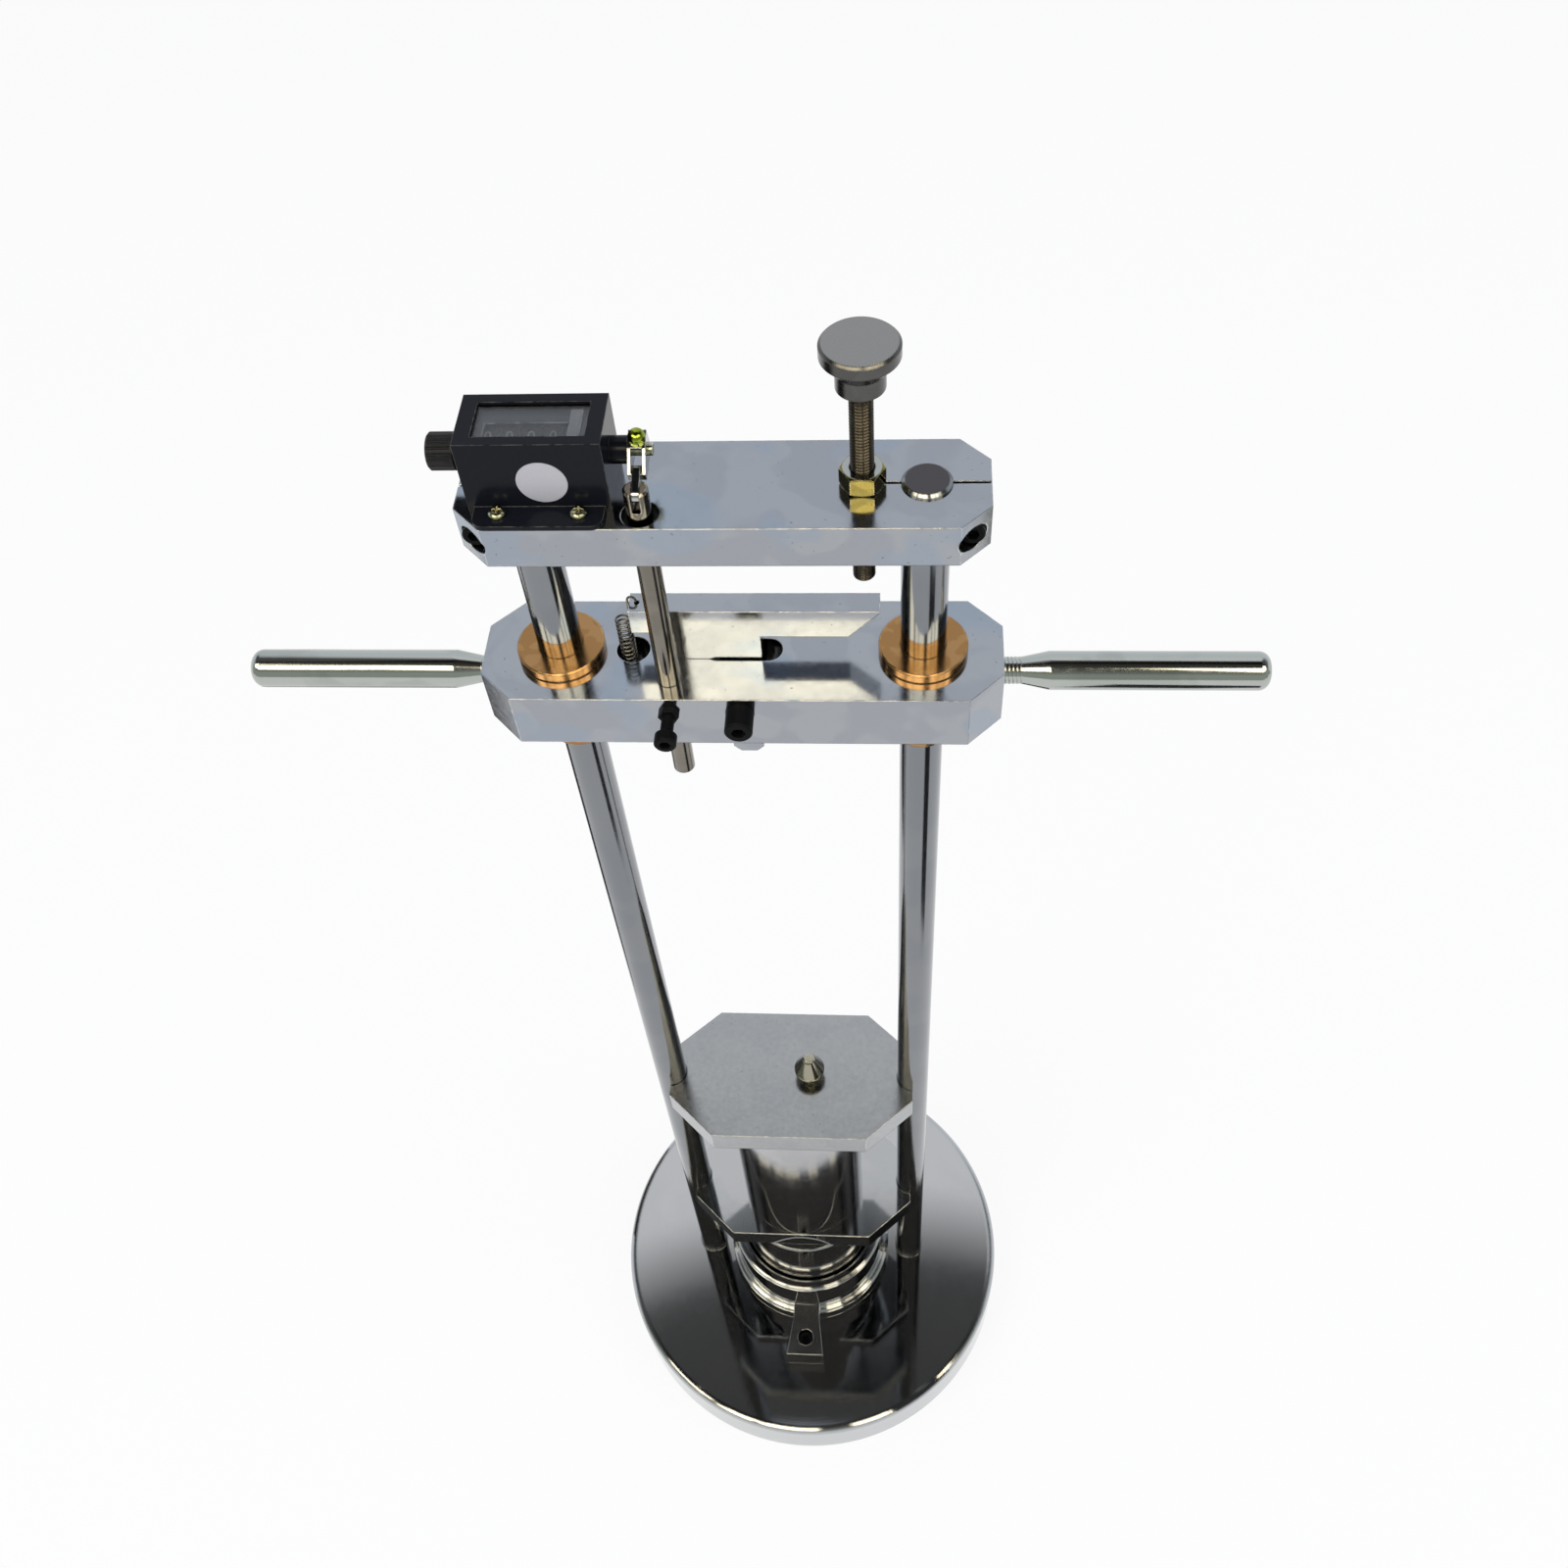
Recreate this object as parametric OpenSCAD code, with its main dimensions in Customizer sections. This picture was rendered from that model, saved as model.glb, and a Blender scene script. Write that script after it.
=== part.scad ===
/* [Base] */
// Diameter of the round base
base_d = 300; // [290:1:330]
// Thickness of the base
base_h = 40; // [34:1:60]
// Radius of the base's rounded top edge
base_round = 5; // [2:0.5:8]
// Chamfer under the base
base_foot = 1.5; // [0.5:0.5:3]

/* [Columns] */
// Diameter of the two guide columns
column_d = 20; // [16:0.5:22]
// Distance between the column axes
column_gap = 160; // [150:1:175]
// Depth of the bolt heads' recesses beyond the heads
bolt_sink = 2; // [1:0.5:4]
// Depth of the column ends in the base
column_seat = 24; // [18:1:28]
// Height of the column ends above the crosshead
column_above = 2; // [1:0.5:4]
// Chamfer on the column tops
column_chamfer = 1.2; // [0.5:0.1:2]
// Thread diameter of the bolts that hold the columns from below
column_bolt_d = 12; // [8:1:12]
// Thread length of the column bolts inside the columns
column_bolt_in = 22; // [15:1:40]

/* [Crosshead] */
// Height of the crosshead's top face above the floor
crosshead_z = 876; // [860:1:900]
// Length of the crosshead
crosshead_l = 210; // [204:1:230]
// Depth of the crosshead from front to back
crosshead_w = 50; // [49:1:60]
// Thickness of the crosshead
crosshead_h = 20; // [18:1:26]
// Corner chamfer of the crosshead
crosshead_corner = 12; // [8:0.5:14]
// Width of the clamping slits
slit_w = 1.4; // [1:0.1:2.5]
// Distance of the clamp bolts from the column axes
clamp_bolt_out = 17.5; // [16.5:0.5:18.5]
// Diameter of the clamp bolts
clamp_bolt_d = 6; // [5:0.5:6]
// Diameter of the counterbores for the clamp bolts
clamp_cb_d = 11; // [10.5:0.5:12]
// Diameter of the hole that the trip rod passes with play
rod_window_d = 15; // [12:0.5:15]

/* [Height adjustment] */
// Distance of the adjusting screw from the middle
adjust_x = 55; // [52:0.5:56]
// Diameter of the adjusting screw
adjust_d = 10; // [8:0.5:10]
// Height of the lower end of the adjusting screw
adjust_tip_z = 825.2; // [825:0.1:835]
// Diameter of the knob
knob_d = 30.2; // [26:0.1:36]
// Thickness of the knob's rim
knob_rim_h = 7; // [5:0.5:10]
// Height of the cone under the knob's rim
knob_cone_h = 5; // [3:0.5:7]
// Diameter of the knob's boss
knob_boss_d = 19; // [16:0.5:22]
// Height of the knob's boss
knob_boss_h = 8; // [5:0.5:12]
// Height of the knob's top face
knob_top_z = 943; // [935:1:955]
// Width across the flats of the lock nut
nut_af = 16; // [15:0.5:17]
// Height of the lock nut
nut_h = 8.5; // [6:0.5:10]

/* [Counter] */
// Left side of the counter's housing
counter_x0 = -98; // [-100:0.5:-97]
// Right side of the counter's housing
counter_x1 = -41.4; // [-42:0.2:-41]
// Depth of the housing from front to back
counter_w = 29; // [28:0.5:31]
// Height of the housing
counter_h = 33.3; // [32:0.1:36]
// Wall of the housing
counter_wall = 2; // [1.5:0.1:2.2]
// Width of the window
window_l = 43.8; // [42:0.2:45]
// Depth of the window from front to back
window_w = 19.6; // [17:0.2:20]
// Depth of the window pane below the top face
window_sink = 1.2; // [0.8:0.1:1.6]
// Thickness of the window pane
window_t = 1.5; // [1:0.1:1.6]
// Steel of the housing's top face under the window pane
window_lip = 0.5; // [0.3:0.1:1]
// Depth of the front fixing flange
flange_w = 11.2; // [11:0.1:12]
// Thickness of the fixing flange
flange_t = 2.2; // [1.5:0.1:3]
// Distance of the flange's ends from the housing's ends
flange_in = 2.5; // [1:0.5:4]
// Corner radius of the fixing flange
flange_r = 5; // [3:0.5:6]
// Distance of the fixing screws in front of the housing
counter_screw_out = 4.5; // [4.2:0.1:5]
// Thread diameter of the fixing screws
counter_screw_d = 4; // [3:0.5:4]
// Distance between the two fixing screws
counter_screw_gap = 32; // [28:0.5:36]
// Head diameter of the fixing screws
counter_screw_head = 7; // [6:0.2:7.4]
// Height of the counter shaft above the crosshead
shaft_up = 17; // [16.5:0.1:17.5]
// Diameter of the counter shafts
shaft_d = 5; // [4:0.2:5]
// Diameter of the number wheels
wheel_d = 21.6; // [20:0.2:22]
// Width of one number wheel with its gap
wheel_pitch = 8.4; // [8:0.1:8.4]
// Gap between two number wheels
wheel_gap = 0.4; // [0.3:0.1:0.6]
// Gap between the reset knob's grip and the housing
reset_gap = 3.2; // [2:0.1:4]
// Diameter of the reset knob
reset_d = 15; // [12:0.5:18]
// Width of the reset knob
reset_l = 11.5; // [8:0.5:14]
// Outer diameter of the shaft bushing
bushing_d = 11; // [9:0.5:12]
// Diameter of the shaft bushing inside the housing's wall
bushing_neck_d = 8; // [7:0.5:9]
// Length of the shaft bushing outside the housing
bushing_out = 7; // [6.5:0.1:7]

/* [Trip rod and counter lever] */
// Distance of the trip rod from the middle, to the left
rod_left = 30.5; // [30:0.1:31]
// Distance of the trip rod in front of the column plane
rod_front = 17; // [16.5:0.1:17]
// Diameter of the trip rod
rod_d = 10; // [8:0.5:10]
// Height of the trip rod's top end
rod_top_z = 890; // [889:0.2:891]
// Length of the trip rod
rod_l = 175; // [160:1:185]
// Width of the slot in the trip rod's top
rod_slot_w = 3.6; // [3.4:0.1:4]
// Depth of the slot in the trip rod's top
rod_slot_h = 9; // [8:0.5:12]
// Depth of the cross pin below the trip rod's top
eye_down = 3.5; // [3.2:0.1:4]
// Diameter of the cross pin in the trip rod
cross_pin_d = 2.5; // [2:0.1:2.8]
// Thickness of the lever's tongue
tongue_t = 3; // [2:0.1:3]
// Thickness of the lever's two cheeks
cheek_t = 1.2; // [1:0.1:1.5]
// Outside width of the lever over its cheeks
lever_w = 7; // [6.4:0.1:7]
// Height of the lever's hub above its shaft's axis
hub_top = 6.2; // [6:0.1:7]

/* [Lift plate] */
// Height of the parked lift plate's top face
lift_z = 778; // [770:0.5:780]
// Length of the lift plate
lift_l = 230; // [222:1:240]
// Depth of the lift plate from front to back
lift_w = 58; // [54:1:66]
// Thickness of the lift plate
lift_h = 30; // [27:1:30]
// Corner chamfer of the lift plate
lift_corner = 15; // [10:0.5:17]
// Outer diameter of the bushes in the plate
bush_d = 28; // [26:0.5:32]
// Diameter of the bush flanges
bush_flange_d = 39; // [35:0.5:40]
// Thickness of the bush flanges
bush_flange_h = 5; // [3:0.5:6]
// Length of the bushes below the plate
bush_below = 18; // [8:1:22]
// Diameter of the handles
handle_d = 17.4; // [15:0.2:20]
// Diameter of the handles' threads
handle_thread_d = 12; // [10:0.5:13]
// Length of a handle without its thread
handle_l = 108; // [90:1:125]
// Length of the cone at a handle's inner end
handle_cone = 12.5; // [8:0.5:18]
// Length of thread that shows on the left handle
left_handle_gap = 3; // [1:0.5:8]
// Length of thread that shows on the right handle
right_handle_gap = 8; // [1:0.5:12]
// Wall between the ends of the handles' threads and the bushes
handle_bush_wall = 3; // [2.5:0.5:5]
// Height of the handle axes below the plate's top face
handle_down = 13.5; // [12:0.5:15]

/* [Latch] */
// Thickness of the latch lever
latch_t = 11; // [9:0.5:12]
// Height of the lever's top above the lift plate
latch_up = 30.3; // [28:0.1:32]
// Depth of the lever's lower end below the plate's top face
latch_down = 66; // [64:0.5:66]
// Length of the lever to the left of the pivot
latch_left = 46.7; // [44:0.1:47]
// Length of the lever to the right of the pivot
latch_right = 60.7; // [57:0.1:62]
// Distance of the pivot from the middle
pivot_x = 0.7; // [0:0.1:1.5]
// Depth of the pivot below the plate's top face
pivot_down = 9; // [8.5:0.1:10]
// Diameter of the pivot journal
pivot_d = 8; // [6:0.5:8]
// Diameter of the pivot screw
pivot_screw_d = 12.4; // [11:0.2:13]
// Length of the pivot screw in front of the plate
pivot_screw_out = 11.3; // [8:0.1:13]
// Height of the right arm's underside above the plate
right_arm_up = 14.6; // [13:0.1:16]
// Height of the left arm's underside above the plate
left_arm_up = 17; // [15:0.1:18]
// Width of the slot through the lift plate
slot_w = 13; // [12.4:0.1:14]
// Reach of the nose to the right of the middle
nose_x = 6.4; // [5.8:0.1:6.6]
// Height of the nose
nose_h = 7; // [5:0.5:8]
// Outer diameter of the latch spring
spring_d = 6.4; // [5.6:0.1:6.6]
// Wire diameter of the latch spring
spring_wire = 1; // [0.8:0.1:1.1]
// Number of turns of the latch spring
spring_turns = 16; // [10:1:22]
// Diameter of the spring's well in the plate
well_d = 15; // [14:0.5:15.4]
// Diameter of the pin that anchors the spring
anchor_d = 3; // [2:0.2:3.4]
// Depth of the spring's anchor pin below the plate's top face
anchor_down = 25; // [24:0.5:26]
// Diameter of the screw that bears on the trip rod
drag_screw_d = 5.8; // [4:0.2:6]
// Length of the drag screw in front of the plate, under its head
drag_screw_out = 12.2; // [8:0.2:16]

/* [Hammer] */
// Diameter of the hammer's striking head
head_d = 100; // [98:0.1:101]
// Height of the solid steel above the striking face
head_floor = 38; // [30:1:60]
// Diameter of the hammer's barrel
barrel_d = 88; // [80:0.5:88]
// Diameter of the bore that trims the hammer's weight
barrel_bore = 64; // [40:1:68]
// Height of the top of the lower guide plate
lower_plate_z = 175.3; // [170:0.1:180]
// Thickness of the lower guide plate
lower_plate_h = 18.3; // [14:0.1:20]
// Height of the top of the upper guide plate
upper_plate_z = 351.6; // [345:0.1:352]
// Thickness of the upper guide plate
upper_plate_h = 19.6; // [16:0.1:22]
// Depth of the guide plates from front to back
guide_w = 89; // [84:1:100]
// Length of the guide plates' front edges
guide_front = 100; // [90:1:110]
// Length of the guide plates' side edges
guide_side = 34; // [28:1:40]
// Distance of the lifting pin from the middle
pin_x = 12.3; // [12:0.1:13]
// Diameter of the lifting pin's conical head
pin_head_d = 19.5; // [19:0.1:20]
// Diameter of the lifting pin's neck
pin_neck_d = 10; // [8:0.5:10]
// Height of the lifting pin's neck
pin_neck_h = 8.5; // [8:0.1:10]
// Height of the lifting pin's head
pin_head_h = 15; // [12:0.5:15.5]

/* [Cup] */
// Gap between the hammer's striking head and the cup's wall
head_play = 1; // [0.9:0.05:1.5]
// Inner depth of the cup
cup_deep = 50; // [48:1:54]
// Thickness of the cup's floor
cup_floor = 6; // [6:0.5:10]
// Wall of the cup at its rim
cup_wall = 8.2; // [6:0.1:9]
// Radius of the cup's rounded rim
cup_round = 3; // [1:0.5:5]
// Reach of the cup's foot ring beyond the wall
cup_foot_out = 4.3; // [3:0.1:6]
// Height of the cup's foot ring
cup_foot_h = 15; // [10:0.5:16]
// Width of the clamp block at the cup
clamp_in_w = 20; // [18:1:22]
// Width of the clamp block at its front
clamp_out_w = 28; // [24:1:32]
// Height of the clamp block
clamp_h = 23; // [20:0.5:24]
// Distance of the clamp block's front from the cup's axis
clamp_reach = 98; // [94:1:102]
// Diameter of the counterbore in the clamp block
clamp_hole_d = 12; // [11:0.5:13]
// Depth of the counterbore in the clamp block
clamp_sink = 14; // [12:0.5:16]
// Thread diameter of the clamp screw
clamp_screw_d = 8; // [6:1:8]
// Length of the clamp screw's thread in the base
clamp_screw_in = 14; // [10:1:20]

/* [Clearances] */
// Radial play of running and sliding fits
run_play = 0.05; // [0.02:0.01:0.1]
// Radial play of the trip rod in the lift plate
rod_play = 0.1; // [0.05:0.01:0.1]
// Play of the guide notches on the columns
guide_play = 0.3; // [0.2:0.05:0.5]
// Gap between faces that slide or turn on each other
face_play = 0.1; // [0.05:0.05:0.3]
// Play between the clamp block and the cup
clamp_play = 0.2; // [0.1:0.05:0.4]
// Play of the cross pin in the lever's eye
eye_play = 0.25; // [0.1:0.05:0.3]

/* [Hidden] */
$fn = 96;
over = 1;
edge = 0.8;
fine_edge = 0.6;
thread_runout = 2;
column_x = column_gap / 2;
column_bottom = base_h - column_seat;
column_top = crosshead_z + column_above;
bolt_head_d = column_bolt_d * 1.5;
bolt_head_h = column_bolt_d * 0.7;
bolt_hole_play = 0.5;
bolt_seat_z = bolt_head_h + bolt_sink;
crosshead_bottom = crosshead_z - crosshead_h;
clamp_head_d = clamp_cb_d - 1;
clamp_head_h = clamp_bolt_d;
clamp_bolt_x = column_x + clamp_bolt_out;
clamp_bolt_z = crosshead_z - crosshead_h / 2;
clamp_seat_y = -crosshead_w / 4;
clamp_bolt_l = crosshead_w / 2 - crosshead_corner / 2 - 1 - clamp_seat_y;
slit_past = 8;
rod_window_back = 0.5;
rod_x = -rod_left;
rod_y = -rod_front;
shaft_y = 1.2;
shaft_z = crosshead_z + shaft_up;
counter_l = counter_x1 - counter_x0;
counter_mid = (counter_x0 + counter_x1) / 2;
counter_y = shaft_y - 1;
counter_front = counter_y - counter_w / 2;
counter_top = crosshead_z + counter_h;
counter_roof = window_sink + window_t + window_lip;
counter_screw_in = 8;
flange_l = counter_l - 2 * flange_in;
screw_y = counter_front - counter_screw_out;
wheel_t = wheel_pitch - wheel_gap;
wheel_count = 5;
wheels_x0 = counter_mid - wheel_pitch * wheel_count / 2;
units_x = wheels_x0 + wheel_pitch * (wheel_count - 1);
counter_shaft_end = units_x + wheel_t + 1;
lever_shaft_x = counter_shaft_end + 0.5;
lever_shaft_out = 2;
lift_bottom = lift_z - lift_h;
lift_end = lift_l / 2;
handle_in = lift_end - column_x - bush_d / 2 - handle_bush_wall;
handle_z = lift_z - handle_down;
pivot_z = lift_z - pivot_down;
eye_z = rod_top_z - eye_down;
eye_slot = 1.2;
lever_screw_d = 3;
eye_reach = norm([shaft_y - rod_y, shaft_z - eye_z]);
lever_tilt = atan2(shaft_z - eye_z, shaft_y - rod_y);
pivot_in = 10;
slot_left = -10;
slot_right = 12;
foot_left = -28;
foot_right = 9.7;
bevel_x = 47.9;
well_x = -48;
spring_x = -49.9;
spring_low = -18;
spring_high = 21;
anchor_z = lift_z - anchor_down;
anchor_in = 5;
eye_x = -42.6;
spring_hole_d = 2.4;
spring_hole_h = 6;
head_bottom = base_h + cup_floor;
lower_plate_bottom = lower_plate_z - lower_plate_h;
upper_plate_bottom = upper_plate_z - upper_plate_h;
spigot_d = 50;
spigot_h = 8;
pin_gap = 0.6;
pin_seat = upper_plate_h - spigot_h - pin_gap;
cup_bore = head_d + 2 * head_play;
cup_r = cup_bore / 2 + cup_wall;
foot_r = cup_r + cup_foot_out;
clamp_screw_y = -(foot_r + clamp_reach) / 2 - 4;
clamp_seat_z = base_h + clamp_h - clamp_sink;

module at_columns() {
    for (side = [-1, 1]) translate([side * column_x, 0, 0]) children();
}

module at_counter_screws() {
    for (side = [-1, 1])
        translate([counter_mid + side * counter_screw_gap / 2, screw_y, crosshead_z]) children();
}

module chamfered_bar(l, w, corner, h) {
    x = l / 2;
    y = w / 2;
    linear_extrude(h) polygon([[corner - x, -y], [x - corner, -y], [x, corner - y], [x, y - corner],
        [x - corner, y], [corner - x, y], [-x, y - corner], [-x, corner - y]]);
}

// Rod along Z with a chamfer at both ends
module chamfered_rod(d, h, c) {
    rotate_extrude() polygon([[0, 0], [d / 2 - c, 0], [d / 2, c], [d / 2, h - c], [d / 2 - c, h], [0, h]]);
}

// Socket cap screw whose head starts at the origin and points up
module cap_screw(d, head_d, head_h, l) {
    difference() {
        union() {
            chamfered_rod(head_d, head_h, fine_edge);
            translate([0, 0, -l]) chamfered_rod(d, l + over, fine_edge);
        }
        translate([0, 0, head_h * 0.45]) cylinder(d = d * 0.95, h = head_h, $fn = 6);
    }
}

// Pan head screw with a cross recess, head seated at the origin
module pan_screw(d, head_d, head_h, l) {
    r = head_d / 2;
    rim_h = head_h * 0.35;
    recess_l = head_d * 0.52;
    recess_w = head_d * 0.12;
    difference() {
        union() {
            rotate_extrude() polygon(concat([[0, 0], [r, 0], [r, rim_h]],
                [for (a = [15:15:75]) [r * cos(a), rim_h + (head_h - rim_h) * sin(a)]], [[0, head_h]]));
            translate([0, 0, -l]) cylinder(d = d, h = l + head_h / 2);
        }
        for (turn = [0, 90]) rotate([0, 0, turn])
            translate([-recess_l / 2, -recess_w / 2, head_h * 0.45]) cube([recess_l, recess_w, head_h]);
    }
}

module base_plate() {
    r = base_d / 2;
    round_x = r - base_round;
    round_z = base_h - base_round;
    color("slategray") difference() {
        rotate_extrude($fn = 180) polygon(concat([[0, 0], [r - base_foot, 0], [r, base_foot]],
            [for (a = [0:15:90]) [round_x + base_round * cos(a), round_z + base_round * sin(a)]],
            [[0, base_h]]));
        at_columns() {
            translate([0, 0, column_bottom]) cylinder(d = column_d, h = column_seat + over);
            translate([0, 0, -over]) cylinder(d = column_bolt_d + bolt_hole_play, h = base_h);
            translate([0, 0, -over]) cylinder(d = bolt_head_d + bolt_hole_play, h = bolt_seat_z + over);
        }
        translate([0, clamp_screw_y, base_h - clamp_screw_in - thread_runout])
            cylinder(d = clamp_screw_d, h = clamp_screw_in + thread_runout + over);
    }
}

module column_bolts() {
    color("dimgray") at_columns() translate([0, 0, bolt_seat_z]) rotate([180, 0, 0])
        cap_screw(column_bolt_d, bolt_head_d, bolt_head_h, column_bottom - bolt_seat_z + column_bolt_in);
}

module column() {
    color("lightgray") difference() {
        translate([0, 0, column_bottom])
            chamfered_rod(column_d, column_top - column_bottom, column_chamfer);
        translate([0, 0, column_bottom - over])
            cylinder(d = column_bolt_d, h = over + column_bolt_in + thread_runout);
    }
}

module left_column() {
    translate([-column_x, 0, 0]) column();
}

module right_column() {
    translate([column_x, 0, 0]) column();
}

module crosshead() {
    cut_h = crosshead_h + 2 * over;
    right_slit = crosshead_l / 2 - adjust_x;
    left_slit = crosshead_l / 2 - column_x + column_d / 2 + slit_past;
    color("lightsteelblue") difference() {
        translate([0, 0, crosshead_bottom])
            chamfered_bar(crosshead_l, crosshead_w, crosshead_corner, crosshead_h);
        translate([0, 0, crosshead_bottom - over]) {
            at_columns() cylinder(d = column_d, h = cut_h);
            translate([adjust_x, -slit_w / 2, 0]) cube([right_slit + over, slit_w, cut_h]);
            translate([-crosshead_l / 2 - over, -slit_w / 2, 0]) cube([left_slit + over, slit_w, cut_h]);
            translate([adjust_x, 0, 0]) cylinder(r = adjust_d / 2 + run_play, h = cut_h);
            translate([rod_x, rod_y + rod_window_back, 0]) cylinder(d = rod_window_d, h = cut_h);
        }
        for (side = [-1, 1]) translate([side * clamp_bolt_x, 0, clamp_bolt_z]) rotate([90, 0, 0]) {
            translate([0, 0, -crosshead_w / 2]) cylinder(d = clamp_bolt_d, h = crosshead_w);
            translate([0, 0, -clamp_seat_y]) cylinder(d = clamp_cb_d, h = crosshead_w);
        }
        at_counter_screws() translate([0, 0, -counter_screw_in])
            cylinder(d = counter_screw_d, h = counter_screw_in + over);
    }
}

module crosshead_clamp_bolts() {
    color("dimgray") for (side = [-1, 1])
        translate([side * clamp_bolt_x, clamp_seat_y, clamp_bolt_z]) rotate([90, 0, 0])
            cap_screw(clamp_bolt_d, clamp_head_d, clamp_head_h, clamp_bolt_l);
}

module counter_housing() {
    room_l = counter_l - 2 * counter_wall;
    room_w = counter_w - 2 * counter_wall;
    color("black") difference() {
        union() {
            difference() {
                translate([counter_x0, counter_front, crosshead_z]) cube([counter_l, counter_w, counter_h]);
                translate([counter_x0 + counter_wall, counter_front + counter_wall, crosshead_z - over])
                    cube([room_l, room_w, counter_h - counter_roof + over]);
                translate([counter_mid - window_l / 2, counter_y - window_w / 2, crosshead_z])
                    cube([window_l, window_w, counter_h + over]);
            }
            translate([counter_mid, counter_front, crosshead_z]) linear_extrude(flange_t) difference() {
                translate([-flange_l / 2, -flange_w]) square([flange_l, flange_w + counter_wall / 2]);
                for (side = [-1, 1]) translate([side * (flange_l / 2 - flange_r), -flange_w + flange_r])
                    mirror([side > 0 ? 0 : 1, 0]) difference() {
                        translate([0, -flange_r - over]) square([flange_r + over, flange_r + over]);
                        circle(r = flange_r);
                    }
            }
        }
        translate([counter_x0 - over, shaft_y, shaft_z]) rotate([0, 90, 0])
            cylinder(r = shaft_d / 2 + run_play, h = counter_wall + 2 * over);
        translate([counter_x1 - counter_wall - over, shaft_y, shaft_z]) rotate([0, 90, 0])
            cylinder(d = bushing_neck_d, h = counter_wall + 2 * over);
        at_counter_screws() translate([0, 0, -over]) cylinder(d = counter_screw_d, h = flange_t + 2 * over);
    }
}

module counter_window() {
    z = counter_top - window_sink - window_t;
    color("white", 0.4) translate([counter_mid - window_l / 2, counter_y - window_w / 2, z])
        cube([window_l, window_w, window_t]);
}

module counter_screws() {
    head_h = 2.8;
    l = flange_t + counter_screw_in - thread_runout / 2;
    color("goldenrod") at_counter_screws() translate([0, 0, flange_t])
        pan_screw(counter_screw_d, counter_screw_head, head_h, l);
}

module shaft_bushing() {
    color("black") translate([counter_x1, shaft_y, shaft_z]) rotate([0, 90, 0]) difference() {
        union() {
            cylinder(d = bushing_d, h = bushing_out);
            translate([0, 0, -counter_wall]) cylinder(d = bushing_neck_d, h = counter_wall);
        }
        translate([0, 0, -counter_wall - over])
            cylinder(r = shaft_d / 2 + run_play, h = bushing_out + counter_wall + 2 * over);
    }
}

module wheel(x) {
    translate([x, shaft_y, shaft_z]) rotate([0, 90, 0]) difference() {
        cylinder(d = wheel_d, h = wheel_t);
        translate([0, 0, -over]) cylinder(r = shaft_d / 2 + run_play, h = wheel_t + 2 * over);
    }
}

module units_wheel() {
    color("black") wheel(units_x);
}

module decade_wheels() {
    color("black") for (i = [0:wheel_count - 2]) wheel(wheels_x0 + i * wheel_pitch);
}

module counter_shaft() {
    color("silver") translate([counter_x0 - reset_gap, shaft_y, shaft_z]) rotate([0, 90, 0])
        cylinder(d = shaft_d, h = reset_gap - counter_x0 + counter_shaft_end);
}

module reset_knob() {
    groove_d = 1.2;
    groove_l = reset_l - 1.5;
    x = counter_x0 - reset_gap - reset_l;
    color("black") translate([x, shaft_y, shaft_z]) rotate([0, 90, 0]) difference() {
        union() {
            chamfered_rod(reset_d, reset_l, edge);
            translate([0, 0, reset_l - over]) cylinder(d = reset_d * 0.6, h = over + reset_gap - face_play);
        }
        for (a = [0:20:340]) rotate([0, 0, a]) translate([reset_d / 2, 0, -over])
            cylinder(d = groove_d, h = groove_l + over);
        translate([0, 0, reset_l]) cylinder(d = shaft_d, h = reset_gap + 2 * over);
    }
}

module counter_lever() {
    tongue_in = 9;
    neck_out = shaft_y - rod_y - rod_d / 2 - eye_slot;
    neck_r = 2;
    hub_l = 5;
    hub_low = -5;
    hub_r = 3;
    web_t = 1.4;
    eye_r = 3;
    pin_r = cross_pin_d / 2 + eye_play;
    color("silver") translate([rod_x, shaft_y, shaft_z])
        rotate([lever_tilt, 0, 0]) rotate([90, 0, 90]) difference() {
            union() {
                for (side = [-1, 1]) translate([0, 0, side * (lever_w - cheek_t) / 2 - cheek_t / 2])
                    linear_extrude(cheek_t) polygon([[-neck_out, -neck_r], [0, hub_low],
                        [hub_l, hub_low + 1], [hub_l, hub_top], [-hub_r, hub_top], [-neck_out, neck_r]]);
                translate([-neck_out, -neck_r, -lever_w / 2])
                    cube([neck_out - tongue_in + 1, 2 * neck_r, lever_w]);
                translate([-hub_r, hub_top - web_t, -lever_w / 2]) cube([hub_r + hub_l, web_t, lever_w]);
                translate([0, 0, -tongue_t / 2]) linear_extrude(tongue_t) union() {
                    translate([-eye_reach, -eye_r]) square([eye_reach - tongue_in, 2 * eye_r]);
                    translate([-eye_reach, 0]) circle(r = eye_r);
                }
            }
            translate([0, 0, -lever_w]) cylinder(d = shaft_d, h = 2 * lever_w);
            for (shift = [0, eye_slot]) translate([shift - eye_reach, 0, -lever_w])
                cylinder(r = pin_r, h = 2 * lever_w);
            translate([-eye_reach, -pin_r, -lever_w]) cube([eye_slot, 2 * pin_r, 2 * lever_w]);
            translate([1, 0, 0]) rotate([-90, 0, 0]) cylinder(d = lever_screw_d, h = hub_top + over);
        }
}

module lever_shaft() {
    color("peru") translate([lever_shaft_x, shaft_y, shaft_z]) rotate([0, 90, 0])
        cylinder(d = shaft_d, h = rod_x + lever_w / 2 + lever_shaft_out - lever_shaft_x);
}

module lever_screw() {
    head_h = 2.6;
    color("yellowgreen") translate([rod_x, shaft_y, shaft_z]) rotate([lever_tilt, 0, 0])
        translate([0, 1, hub_top]) pan_screw(lever_screw_d, 2 * lever_screw_d, head_h, hub_top - shaft_d / 2);
}

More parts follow.
